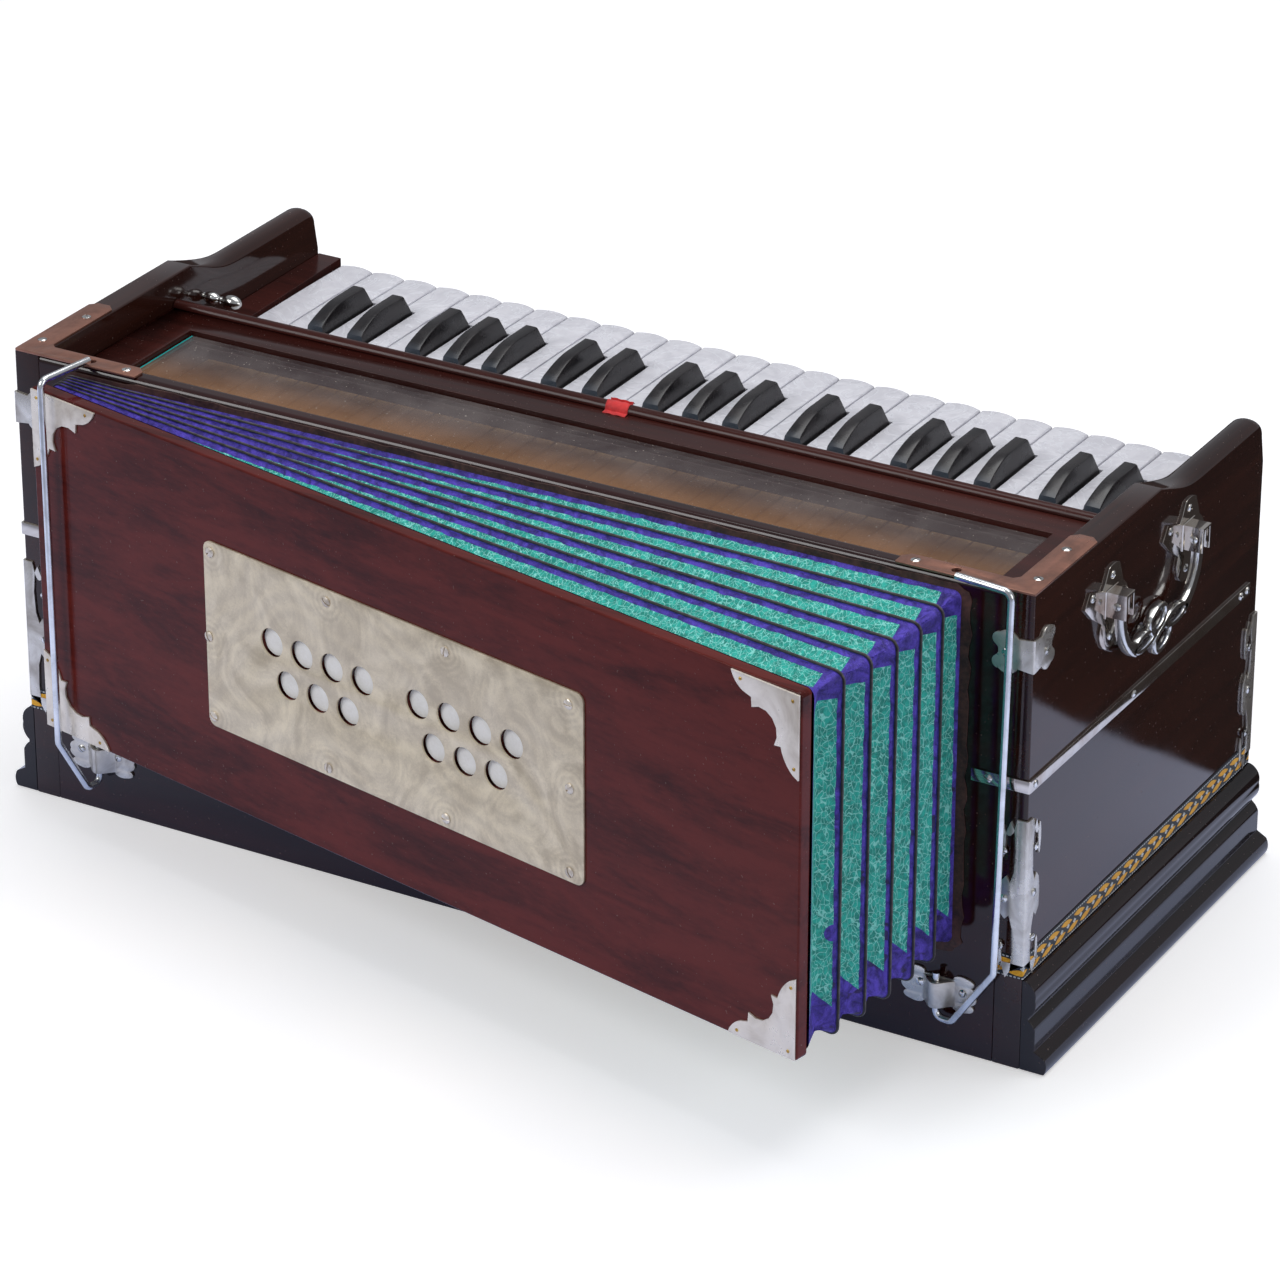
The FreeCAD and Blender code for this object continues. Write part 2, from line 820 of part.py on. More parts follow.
def vent_groups():
    """Centres of the breathing holes, a row of four over a row of three on each side of the middle."""
    groups = []
    for side in (-1, 1):
        middle = vent_middle + side * s.vent_group_offset
        rows = []
        for row, count in enumerate(VENT_ROWS):
            z = vent_z + s.vent_row_rise - row * s.vent_row_pitch
            rows.append([(middle + (i - (count - 1) / 2) * s.vent_hole_pitch, z) for i in range(count)])
        groups.append(rows)
    return groups


def well_outline(rows):
    """The opening in the board behind one group of holes: it follows the group's outer tangents."""
    reach = s.vent_hole_radius
    (upper_left, z_high), (upper_right, _) = rows[0][0], rows[0][-1]
    (lower_left, z_low), (lower_right, _) = rows[-1][0], rows[-1][-1]
    return [
        (lower_left - reach, z_low - reach),
        (lower_right + reach, z_low - reach),
        (upper_right + reach, z_high),
        (upper_right + reach, z_high + reach),
        (upper_left - reach, z_high + reach),
        (upper_left - reach, z_high),
    ]


def bellows_board():
    """The pumping board, with a shallow leather-backed well behind each group of holes."""
    right = board_left + s.board_length
    outline = rounded(
        [(board_left, board_low), (right, board_low), (right, board_top), (board_left, board_top)],
        s.board_corner_radius,
    )
    board = pad("board", "XZ", board_face, [outline], "board_thickness")
    wells = sketch_on(board, "XZ", board_face, [well_outline(rows) for rows in vent_groups()])
    pocket = board.newObject("PartDesign::Pocket", "vent_wells")
    pocket.Profile = wells
    bind(pocket, "Length", "vent_well_depth")
    board.Placement = swung(1)
    part_of(board, "bellows_board")


def board_plates():
    """The steel vent plate and the four cusped corner plates on the board's face."""
    face = board_face - s.vent_thickness
    half_length = s.vent_length / 2
    half_height = s.vent_height / 2
    plate_outline = rounded(
        [
            (vent_middle - half_length, vent_z - half_height),
            (vent_middle + half_length, vent_z - half_height),
            (vent_middle + half_length, vent_z + half_height),
            (vent_middle - half_length, vent_z + half_height),
        ],
        s.vent_corner_radius,
    )
    holes = [round_hole(c, s.vent_hole_radius) for rows in vent_groups() for row in rows for c in row]
    members = [pad("vent_plate", "XZ", face, [plate_outline] + holes, "vent_thickness", True)]
    # Shares of the two legs: a lobe near each tip, a sharp cusp, and a deep hollow between the cusps.
    corner_shares = [
        (0.0, 0.0),
        (1.0, 0.0),
        ((0.94, 0.13), (0.77, 0.24)),
        (0.7, 0.34),
        ((0.4, 0.4), (0.34, 0.7)),
        (0.24, 0.77),
        ((0.13, 0.94), (0.0, 1.0)),
    ]
    height = s.corner_plate_height
    margin = s.corner_plate_margin
    for across, left in (("left", True), ("right", False)):
        for up, low in (("lower", True), ("upper", False)):
            length = s.hinge_side_plate_length if left else -s.far_side_plate_length
            outline = scaled(corner_shares, length, height if low else -height)
            x = board_left + margin if left else board_left + s.board_length - margin
            corner_z = board_low + margin if low else board_top - margin
            name = "%s_%s_corner_plate" % (up, across)
            members.append(pad(name, "XZ", face, [shifted(outline, x, corner_z)], "vent_thickness", True))
    for member in members:
        member.Placement = swung(1)
    group("board_plates", members)


FOLDS = 6


def fold_ring(share, inset):
    """One eight-sided ring of the folds: its plane lies at a share of the stack and of the angle."""
    left = folds_left + inset * s.hinge_inset / s.fold_leaf
    right = folds_left + s.folds_length - inset * s.fold_open_depth / s.fold_leaf
    low = s.folds_clearance + inset
    high = s.case_height - s.folds_drop - inset
    c = s.folds_corner
    y = front - s.folds_stack * share
    ring = [
        (left + c, low),
        (right - c, low),
        (right, low + c),
        (right, high - c),
        (right - c, high),
        (left + c, high),
        (left, high - c),
        (left, low + c),
    ]
    return [swung(share).multVec(Vector(x, y, z)) for x, z in ring]


def flat_face(points):
    """A plane face round the given corners."""
    return Part.Face(Part.makePolygon(points + [points[0]]))


def bellows_folds():
    """Six folds in a fan of flat leaves: narrow ribs outside, creases turned in between them."""
    rib_half_share = 0.045
    rings = [fold_ring(0, 0)]
    for i in range(FOLDS):
        rings.append(fold_ring((i + 0.5) / FOLDS, s.fold_leaf))
        if i < FOLDS - 1:
            for edge in (-rib_half_share, rib_half_share):
                rings.append(fold_ring((i + 1 + edge) / FOLDS, 0))
    rings.append(fold_ring(1, 0))
    leaves = [flat_face(rings[0]), flat_face(rings[-1])]
    for near, far in zip(rings, rings[1:]):
        for i in range(len(near)):
            j = (i + 1) % len(near)
            leaves.append(flat_face([near[i], near[j], far[j]]))
            leaves.append(flat_face([near[i], far[j], far[i]]))
    fan = doc.addObject("Part::Feature", "fan")
    fan.Shape = Part.makeSolid(Part.makeShell(leaves))
    part_of(fan, "bellows_folds")


# Steel fittings on the case

case_side = s.case_length / 2
steel_side = case_side + s.steel_thickness
steel_front = front - s.steel_thickness


def top_plate():
    """An L-shaped plate on a front top corner, with the catch hole for the clip."""
    side_width = s.top_plate_side_width
    front_width = s.top_plate_front_width
    c = s.top_plate_chamfer
    outline = [
        (case_side, front),
        (case_side, front + s.top_plate_side_leg),
        (case_side - side_width + c, front + s.top_plate_side_leg),
        (case_side - side_width, front + s.top_plate_side_leg - c),
        (case_side - side_width, front + front_width),
        (case_side - s.top_plate_front_leg + c, front + front_width),
        (case_side - s.top_plate_front_leg, front + front_width - c),
        (case_side - s.top_plate_front_leg, front),
    ]
    hole = round_hole((case_side - s.clip_axis_inset, front + s.catch_hole_inset), s.catch_hole_radius)
    return pad("top_plate", "XY", s.case_height, [outline, hole], "steel_thickness", True)


def side_strap():
    """A flat strap bent round the corner and along the cheek."""
    outline = [
        (case_side - s.strap_front_leg, steel_front),
        (steel_side, steel_front),
        (steel_side, rear - s.strap_rear_inset),
        (case_side, rear - s.strap_rear_inset),
        (case_side, front),
        (case_side - s.strap_front_leg, front),
    ]
    low = s.case_height - s.strap_drop - s.strap_width / 2
    return pad("side_strap", "XY", low, [outline], "strap_width")


def angle_bracket(name, leg_shares, leg, height, top, at_rear):
    """A bracket bent over an upright corner of the case, with the same cut outline on both legs."""
    outline = scaled(leg_shares, leg, height)
    low = top - height
    across = shifted(mirrored(outline), steel_side, low)
    if at_rear:
        along = shifted(mirrored(outline), rear + s.steel_thickness, low)
        first = pad(name + "_end_leg", "XZ", rear, [across], "steel_thickness", True)
    else:
        along = shifted(outline, steel_front, low)
        first = pad(name + "_end_leg", "XZ", steel_front, [across], "steel_thickness", True)
    second = pad(name + "_side_leg", "YZ", case_side, [along], "steel_thickness", True)
    return fuse(name, [first, second])


def clip_bracket():
    """A two-lobed plate low on the front, with the upright knuckle that holds a wire clip."""
    axis_x = case_side - s.clip_axis_inset
    # Shares of half the length and half the height, for the right half: lower lobe, nick, upper tip.
    half_shares = [
        (0.2, -0.95),
        ((0.4, -0.5), (0.62, -0.7)),
        ((0.84, -1.0), (0.95, -0.6)),
        (0.86, -0.2),
        (1.0, 0.1),
        (0.8, 0.3),
        (0.74, 1.0),
        ((0.5, 0.6), (0.2, 0.9)),
    ]
    right_half = scaled(half_shares, s.clip_plate_length / 2, s.clip_plate_height / 2)
    left_half = reversed_path(mirrored(right_half))
    outline = shifted(right_half + left_half, axis_x, s.clip_plate_middle)
    plate = pad("clip_plate", "XZ", steel_front, [outline], "steel_thickness", True)
    low = s.clip_plate_middle - s.knuckle_height / 2
    axis_y = front - s.knuckle_radius
    barrel = cylinder("clip_barrel", (axis_x, axis_y, low), (0, 0, 1), "knuckle_radius", "knuckle_height")
    start = (axis_x, axis_y, low - s.cut_overrun)
    bore_height = "knuckle_height + 2 * cut_overrun"
    bore = cylinder("clip_bore", start, (0, 0, 1), "wire_radius + wire_clearance", bore_height)
    return cut("clip_bracket", fuse("clip_bracket_plain", [plate, barrel]), [bore])


def reversed_path(outline):
    """The same open outline walked from its other end."""
    points = [step[1] if isinstance(step[0], tuple) else step for step in outline]
    path = [points[-1]]
    for i in range(len(outline) - 1, 0, -1):
        step = outline[i]
        path.append((step[0], points[i - 1]) if isinstance(step[0], tuple) else points[i - 1])
    return path


def handle_bracket(name, middle):
    """A cross-shaped back plate with an open clevis for one end of a carrying handle."""
    # Shares of half the width and half the height: foot, sloping shoulder, tip, and a wing towards -Y.
    plate_shares = [
        (0.0, -1.0),
        ((0.22, -0.92), (0.32, -0.7)),
        (0.34, -0.3),
        (0.8, -0.1),
        (0.66, 0.24),
        (0.5, 0.4),
        (0.4, 0.7),
        (0.32, 0.92),
        ((0.12, 0.99), (-0.12, 0.96)),
        (-0.25, 0.68),
        (-0.36, 0.54),
        (-0.9, 0.76),
        (-1.1, 0.44),
        (-0.8, 0.1),
        (-0.36, -0.25),
        ((-0.33, -0.8), (0.0, -1.0)),
    ]
    plate_shape = scaled(plate_shares, s.back_plate_half_width, s.back_plate_height / 2)
    outline = shifted(plate_shape, middle, pivot_z + s.back_plate_rise - s.back_plate_height / 2)
    plate = pad(name + "_plate", "YZ", case_side, [outline], "steel_thickness", True)
    low = pivot_z - s.clevis_height / 2
    y = middle - s.clevis_length / 2
    block = box(name + "_block", (steel_side, y, low), "clevis_reach", "clevis_length", "clevis_height")
    hollow = box(
        name + "_hollow",
        (steel_side, y + s.clevis_wall, low - s.cut_overrun),
        "clevis_reach + cut_overrun",
        "clevis_length - 2 * clevis_wall",
        "clevis_height + cut_overrun - clevis_wall",
    )
    start = (case_side + s.handle_stand_off, y - s.cut_overrun, pivot_z)
    length = "clevis_length + 2 * cut_overrun"
    pin_hole = cylinder(name + "_pin_hole", start, (0, 1, 0), "pin_radius + pin_clearance", length)
    clevis = cut(name + "_clevis", block, [hollow, pin_hole])
    return fuse(name, [plate, clevis])


def steel_fittings():
    """Every bright plate, strap and bracket that is screwed to the case, on both sides."""
    # Shares of leg and height, from the bent edge outwards.
    small_shares = [
        (0.0, 0.08),
        ((0.32, 0.26), (0.55, 0.12)),
        ((0.7, -0.02), (0.8, 0.16)),
        ((1.0, 0.5), (0.8, 0.84)),
        ((0.7, 1.02), (0.55, 0.88)),
        ((0.32, 0.74), (0.0, 0.92)),
    ]
    long_shares = [
        (0.0, 0.0),
        (0.8, 0.0),
        ((1.0, 0.06), (0.82, 0.13)),
        ((0.4, 0.2), (0.74, 0.3)),
        (0.96, 0.34),
        ((0.99, 0.45), (0.9, 0.56)),
        (0.7, 0.6),
        ((0.4, 0.68), (0.8, 0.76)),
        ((1.0, 0.83), (0.8, 0.9)),
        ((0.5, 0.91), (0.36, 1.0)),
        (0.0, 1.0),
    ]
    small = (s.small_angle_leg, s.small_angle_height, s.case_height - s.small_angle_drop)
    long = (s.long_angle_leg, s.long_angle_height, s.long_angle_top)
    middle = front + s.handle_middle
    right = [
        top_plate(),
        side_strap(),
        angle_bracket("small_angle", small_shares, *small, False),
        angle_bracket("front_angle", long_shares, *long, False),
        angle_bracket("rear_angle", long_shares, *long, True),
        clip_bracket(),
        handle_bracket("near_handle_bracket", middle - s.handle_span / 2),
        handle_bracket("far_handle_bracket", middle + s.handle_span / 2),
    ]
    group("steel_fittings", right + [mirror_copy("left_" + piece.Name, piece) for piece in right])


# Wire clips


def bent_wire(points, bend):
    """The corners of a wire path whose bends are walked in short straight steps."""
    points = [Vector(*p) for p in points]
    path = [points[0]]
    for i in range(1, len(points) - 1):
        back = (points[i - 1] - points[i]).normalize()
        ahead = (points[i + 1] - points[i]).normalize()
        turn = math.pi - back.getAngle(ahead)
        centre = points[i] + (back + ahead).normalize() * (bend / math.cos(turn / 2))
        start = points[i] + back * (bend * math.tan(turn / 2)) - centre
        axis = ahead.cross(back)
        steps = math.ceil(math.degrees(turn) / s.facet_angle)
        for k in range(steps + 1):
            swing = Rotation(axis, math.degrees(turn) * k / steps)
            path.append(centre + swing.multVec(start))
    return path + [points[-1]]


def wire_clip(label, side, rest_angle, throw, lean, hook_length):
    """A sprung wire clip: pin in the knuckle, foot, slanting run, upright rod and a hook over the top."""
    axis = Vector(side * (case_side - s.clip_axis_inset), front - s.knuckle_radius, 0)
    pin_top = s.clip_plate_middle + s.knuckle_height / 2 + s.wire_radius
    hook_height = s.case_height + s.steel_thickness + s.hook_clearance + s.wire_radius
    points = [
        (0, 0, pin_top),
        (0, 0, s.clip_foot_height),
        (side * s.clip_foot_run, 0, s.clip_foot_height),
        (side * throw, 0, s.clip_knee_height),
        (side * (throw + lean), 0, hook_height),
        (side * (throw + lean - hook_length), 0, hook_height),
    ]
    path = doc.addObject("Part::Feature", label + "_path")
    path.Shape = Part.makePolygon(bent_wire(points, s.clip_bend_radius))
    section = doc.addObject("Part::RegularPolygon", label + "_section")
    section.Polygon = 8
    bind(section, "Circumradius", "wire_radius")
    section.Placement = Placement(Vector(0, 0, pin_top), Rotation())
    rod = doc.addObject("Part::Sweep", label + "_rod")
    rod.Sections = [section]
    rod.Spine = (path, ["Edge%d" % (i + 1) for i in range(len(path.Shape.Edges))])
    rod.Solid = True
    rod.Transition = "Right corner"
    rod.Placement = Placement(axis, Rotation(Vector(0, 0, 1), rest_angle))
    return part_of(rod, label)


# Carrying handles

handle_low_x = case_side + s.handle_stand_off - s.handle_thickness / 2


def link(half_length, half_height, pointed):
    """The outline of one link of the scroll: an eye with pointed ends, or an oval."""
    a = half_length
    h = half_height
    if pointed:
        return [(-a, 0), ((0, h), (a, 0)), ((0, -h), (-a, 0))]
    flat = a - h
    return [
        (-flat, -h),
        (flat, -h),
        ((a, 0), (flat, h)),
        (-flat, h),
        ((-a, 0), (-flat, -h)),
    ]


def ring(name, centre, half_length, half_height, tilt, pointed):
    """A flat open link of the cast scroll."""
    slim = 2 * s.scroll_bar if pointed else s.scroll_bar
    outer = turned(link(half_length, half_height, pointed), tilt, centre)
    inner = turned(link(half_length - slim, half_height - s.scroll_bar, pointed), tilt, centre)
    return pad(name, "YZ", handle_low_x, [outer, inner], "handle_thickness", True)


def carrying_handle(label, side):
    """A cast handle that hangs from two pins: curved arms joined by a scroll of four links."""
    middle = front + s.handle_middle
    half_span = s.handle_span / 2
    drop = s.handle_drop
    eye_share = s.eye_radius / half_span
    top_share = s.eye_radius / drop
    # Shares of half the span and of the drop, for the arm towards +Y.
    arm_shares = [
        (1 + eye_share, 0.0),
        ((1.0, top_share), (1 - eye_share, 0.0)),
        (1 - eye_share, -0.25),
        ((0.85, -0.56), (0.6, -0.8)),
        (0.64, -1.02),
        ((0.99, -0.62), (1 + eye_share, 0.0)),
    ]
    # Shares of half the span or of the drop: place and half size of the two links on each side.
    eye_place_shares = (0.4, 0.9)
    eye_size_shares = (0.42, 0.15)
    loop_place_shares = (0.09, 0.9, 0.18)
    loop_size_shares = (0.3, 0.2)
    loop_tilt = math.radians(15)
    arm = scaled(arm_shares, half_span, drop)
    pieces = []
    for word, direction in (("far", 1), ("near", -1)):
        name = "%s_%s" % (label, word)
        outline = shifted(arm if direction > 0 else mirrored(arm), middle, pivot_z)
        pieces.append(pad(name + "_arm", "YZ", handle_low_x, [outline], "handle_thickness", True))
        pin_y = middle + direction * half_span - s.clevis_length / 2
        start = (case_side + s.handle_stand_off, pin_y, pivot_z)
        pieces.append(cylinder(name + "_pin", start, (0, 1, 0), "pin_radius", "clevis_length"))
        across, down = eye_place_shares
        centre = (middle + direction * half_span * across, pivot_z - drop * down)
        length, height = (drop * share for share in eye_size_shares)
        pieces.append(ring(name + "_link", centre, length, height, 0, True))
        across, down, apart = loop_place_shares
        centre = (middle + direction * drop * across, pivot_z - drop * (down + direction * apart))
        length, height = (drop * share for share in loop_size_shares)
        pieces.append(ring(name + "_loop", centre, length, height, loop_tilt, False))
    whole = fuse(label + "_casting", pieces)
    if side > 0:
        return part_of(whole, label)
    return part_of(mirror_copy(label + "_mirrored", whole), label)


# Knobs


def stop_knob(label, side):
    """A stop: a stem through the player's wall with a turned knob outside."""
    stem = s.stop_stem_radius
    # Shares of the knob's length and radius: neck and head.
    knob_shares = [(0.0, 0.5), (0.5, 0.5), (0.5, 1.0), (1.0, 1.0), (1.0, 0.0)]
    knob = shifted(scaled(knob_shares, s.stop_knob_length, s.stop_knob_radius), s.seat_gap, 0)
    profile = [(-s.stop_stem_inside, 0), (-s.stop_stem_inside, stem), (s.seat_gap, stem)]
    piece = turned_piece(label + "_turning", profile + knob)
    place = Vector(side * s.stop_knob_offset, rear, stop_z)
    piece.Placement = Placement(place, Rotation(Vector(0, 0, 1), 90))
    return part_of(piece, label)


def coupler_knob():
    """A small double-ball knob in the treble cheek, above the end block of the keys."""
    stem = s.coupler_stem_radius
    # Shares of the knob's length and radius: first ball, waist and second ball, drawn as drums.
    knob_shares = [(0.0, 0.86), (0.42, 0.86), (0.42, 0.6), (0.5, 0.6), (0.5, 1.0), (1.0, 1.0), (1.0, 0.0)]
    knob = shifted(scaled(knob_shares, s.coupler_knob_length, s.coupler_knob_radius), s.seat_gap, 0)
    profile = [(-s.coupler_stem_inside, 0), (-s.coupler_stem_inside, stem), (s.seat_gap, stem)]
    piece = turned_piece("coupler_turning", profile + knob)
    place = Vector(-cheek_inside, front + s.coupler_from_front, s.case_height - s.coupler_drop)
    piece.Placement = Placement(place, Rotation())
    return part_of(piece, "coupler_knob")


def build():
    """Draws every sub-part."""
    case_walls()
    case_base()
    side_cheeks()
    top_frame()
    wind_chest()
    reed_plates()
    keys()
    bellows_board()
    board_plates()
    bellows_folds()
    steel_fittings()
    wire_clip("right_clip", 1, -s.open_clip_angle, s.right_clip_throw, s.right_clip_lean, s.right_hook_length)
    wire_clip("left_clip", -1, s.closed_clip_angle, s.left_clip_throw, s.left_clip_lean, s.left_hook_length)
    carrying_handle("right_handle", 1)
    carrying_handle("left_handle", -1)
    coupler_knob()
    stop_knob("main_stop_knob", -1)
    stop_knob("drone_stop_knob", 1)
    doc.recompute()


def check():
    """Stops before anything is written if a feature failed or a sub-part isn't a sound solid."""
    failed = [o.Name for o in doc.Objects if "Invalid" in o.State or "Error" in o.State]
    if failed:
        raise SystemExit("failed features: " + ", ".join(failed))
    for node in nodes:
        shape = node.Shape
        if shape.isNull() or not shape.isValid() or not shape.Solids:
            raise SystemExit("no sound solid in " + node.Label)


def write():
    """Writes one file for each sub-part."""
    os.makedirs("parts", exist_ok=True)
    for node in nodes:
        node.Shape.exportStep("parts/%s.step" % node.Label)


build()
check()
write()
for node in nodes:
    extent = node.Shape.BoundBox
    sizes_text = "%.1f x %.1f x %.1f" % (extent.XLength, extent.YLength, extent.ZLength)
    print("%-20s %3d solids  %s" % (node.Label, len(node.Shape.Solids), sizes_text))
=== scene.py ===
import math

import bmesh
import bpy
import numpy as np
from mathutils import Matrix, Vector


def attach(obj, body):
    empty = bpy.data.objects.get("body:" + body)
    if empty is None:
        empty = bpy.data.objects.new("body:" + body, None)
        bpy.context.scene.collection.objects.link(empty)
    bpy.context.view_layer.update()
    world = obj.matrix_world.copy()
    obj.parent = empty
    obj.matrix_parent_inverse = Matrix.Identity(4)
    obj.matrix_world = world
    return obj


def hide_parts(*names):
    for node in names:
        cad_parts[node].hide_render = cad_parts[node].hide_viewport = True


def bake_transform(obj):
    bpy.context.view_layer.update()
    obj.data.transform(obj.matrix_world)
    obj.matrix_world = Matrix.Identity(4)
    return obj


# A portable bellows organ with 42 keys. Sizes are in millimetres here and become metres in addPiece.
# X runs to the low notes, Y to the player, Z up, and the origin is the middle of the underside.

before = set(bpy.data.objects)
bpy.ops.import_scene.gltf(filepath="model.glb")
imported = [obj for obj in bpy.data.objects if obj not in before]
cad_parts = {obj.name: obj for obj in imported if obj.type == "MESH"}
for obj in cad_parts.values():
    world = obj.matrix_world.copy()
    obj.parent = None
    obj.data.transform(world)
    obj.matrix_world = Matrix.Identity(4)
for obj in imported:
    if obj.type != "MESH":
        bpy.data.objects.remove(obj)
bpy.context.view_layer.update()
metre = 0.001
rightWay, farWay, upWay = np.eye(3)

case = {
    "halfLength": 310.0,
    "front": -140.0,
    "rear": 140.0,
    "top": 272.0,
    "cheek": 16.0,
    "steel": 1.2,
}


# Shapes are pairs: an array of points, and a list of (faces, finish number).


def gridFaces(rows, columns, wrapRows=False, wrapColumns=False):
    # quads between neighbouring points of a grid; wrapping joins the last row or column to the first
    row = np.arange(rows if wrapRows else rows - 1)[:, None]
    column = np.arange(columns if wrapColumns else columns - 1)[None, :]
    nextRow, nextColumn = (row + 1) % rows, (column + 1) % columns
    corners = [row * columns + column, row * columns + nextColumn]
    corners += [nextRow * columns + nextColumn, nextRow * columns + column]
    return np.stack(np.broadcast_arrays(*corners), -1).reshape(-1, 4)


def joined(*shapes):
    # several shapes as one: the points in a row, the faces counted on
    points, groups, start = [], [], 0
    for shapePoints, shapeGroups in shapes:
        points.append(shapePoints)
        groups += [(faces + start, finish) for faces, finish in shapeGroups]
        start += len(shapePoints)
    return np.concatenate(points), groups


def laid(shape, origin, across, along):
    # local (u, v, w) becomes origin + u across + v along + w (across x along)
    across, along = np.asarray(across, float), np.asarray(along, float)
    axes = np.stack([across, along, np.cross(across, along)])
    return shape[0] @ axes + np.asarray(origin, float), shape[1]


def mirrored(shape):
    # the same shape on the other side of x = 0; addPiece turns its faces outward again
    return shape[0] * (-1, 1, 1), shape[1]


def painted(shape, finish):
    # the same shape with another finish number
    return shape[0], [(faces, finish) for faces, number in shape[1]]


def addPiece(name, shape, finishes, body=None, slot=None, replaces=(), smooth=38, closed=True, marks=None):
    # one object from whole arrays; closed shells are welded and turned outward
    points, groups = shape
    mesh = bpy.data.meshes.new(name)
    mesh.vertices.add(len(points))
    mesh.vertices.foreach_set("co", (points * metre).ravel())
    corners = np.concatenate([faces.ravel() for faces, finish in groups])
    counts = np.concatenate([np.full(len(faces), faces.shape[1]) for faces, finish in groups])
    numbers = np.concatenate([np.full(len(faces), finish) for faces, finish in groups])
    mesh.loops.add(len(corners))
    mesh.loops.foreach_set("vertex_index", corners.astype(np.int32))
    mesh.polygons.add(len(counts))
    mesh.polygons.foreach_set("loop_start", (np.cumsum(counts) - counts).astype(np.int32))
    mesh.polygons.foreach_set("material_index", numbers.astype(np.int32))
    mesh.update(calc_edges=True)
    for mark, values in (marks or {}).items():
        mesh.attributes.new(mark, "FLOAT", "POINT").data.foreach_set("value", values.astype(np.float32))
    if closed:
        work = bmesh.new()
        work.from_mesh(mesh)
        bmesh.ops.remove_doubles(work, verts=work.verts, dist=2e-6)
        bmesh.ops.recalc_face_normals(work, faces=work.faces)
        work.to_mesh(mesh)
        work.free()
    return place(name, mesh, finishes, body, slot, replaces, smooth)


def place(name, mesh, finishes, body, slot, replaces, smooth, broad=4e-4):
    # gives a mesh its finishes, its body and the nodes that it stands for; broad flat faces stay flat
    mesh.validate()
    areas = np.zeros(len(mesh.polygons))
    mesh.polygons.foreach_get("area", areas)
    mesh.shade_smooth()
    mesh.polygons.foreach_set("use_smooth", areas < broad)
    mesh.set_sharp_from_angle(angle=math.radians(smooth))
    piece = bpy.data.objects.new(name, mesh)
    bpy.context.scene.collection.objects.link(piece)
    for finish in finishes:
        mesh.materials.append(finish.material)
    if body:
        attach(piece, body)
    if replaces:
        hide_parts(*replaces)
    return piece


def softCopy(node, name, width, finishes, body, slot, steps=2, angle=30, second=None):
    # a copy of a CAD node, welded, its flat faces made whole and its edges bevelled; faces
    # whose |x|, |y| and |z| lie between the second pair of corners take the second finish
    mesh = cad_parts[node].data.copy()
    mesh.materials.clear()
    work = bmesh.new()
    work.from_mesh(mesh)
    bmesh.ops.remove_doubles(work, verts=work.verts, dist=2e-6)
    bmesh.ops.dissolve_limit(work, angle_limit=math.radians(1), verts=work.verts, edges=work.edges)
    limit = math.radians(angle)
    sharp = [e for e in work.edges if len(e.link_faces) == 2 and e.calc_face_angle(0) > limit]
    sizes = {"offset": width * metre, "segments": steps, "profile": 0.5}
    bmesh.ops.bevel(work, geom=sharp, affect="EDGES", clamp_overlap=True, **sizes)
    low, high = second or ((0, 0, 0), (0, 0, 0))
    for face in work.faces:
        middle = face.calc_center_median() / metre
        face.material_index = int(all(a < abs(value) < b for a, value, b in zip(low, middle, high)))
    work.to_mesh(mesh)
    work.free()
    piece = place(name, mesh, finishes, body, slot, (node,), 35, 1.0)
    normals = piece.modifiers.new("normals", "WEIGHTED_NORMAL")
    normals.keep_sharp, normals.weight = True, 90
    return piece


def inset(outline, amount):
    # each corner of a counter-clockwise outline moves inward along the mitre of its two edges
    before = outline - np.roll(outline, 1, 0)
    after = np.roll(outline, -1, 0) - outline
    normals = [np.c_[-edge[:, 1], edge[:, 0]] / np.hypot(*edge.T)[:, None] for edge in (before, after)]
    mitre = (normals[0] + normals[1]) / (1 + (normals[0] * normals[1]).sum(1))[:, None]
    return outline + mitre * np.reshape(amount, (-1, 1))


def capped(rows, columns):
    # the faces of a closed section repeated in rows, with both ends closed
    first, last = np.arange(columns)[None, ::-1], (rows - 1) * columns + np.arange(columns)[None, :]
    return [(gridFaces(rows, columns, wrapColumns=True), 0), (first, 0), (last, 0)]


def block(outline, low, high, soft=0.4, softLow=None, width=None, widthLow=None, steps=3):
    # the outline carried from low to high; at each end the ring at angle a is inset by
    # soft (1 - sin a) and lies width (1 - cos a) from the end, a quarter ellipse
    outline = np.asarray(outline, float)
    softLow = soft if softLow is None else softLow
    width = soft if width is None else width
    widthLow = softLow if widthLow is None else widthLow
    turn, rings = np.linspace(0, math.pi / 2, steps + 1), []
    for angles, end, amount, rise in ((turn, low, softLow, widthLow), (turn[::-1], high, soft, -np.asarray(width))):
        for angle in angles:
            line = inset(outline, np.asarray(amount) * (1 - math.sin(angle)))
            level = end + np.asarray(rise) * (1 - math.cos(angle))
            rings.append(np.c_[line, np.broadcast_to(level, len(line))])
    return np.concatenate(rings), capped(len(rings), len(outline))


def box(low, high, soft=0.4, steps=2):
    # a board with rounded edges between two corners
    (x0, y0, z0), (x1, y1, z1) = low, high
    outline = roundedOutline([(x0, y0), (x1, y0), (x1, y1), (x0, y1)], soft, steps)
    return block(outline, z0, z1, soft * 0.9, steps=steps)


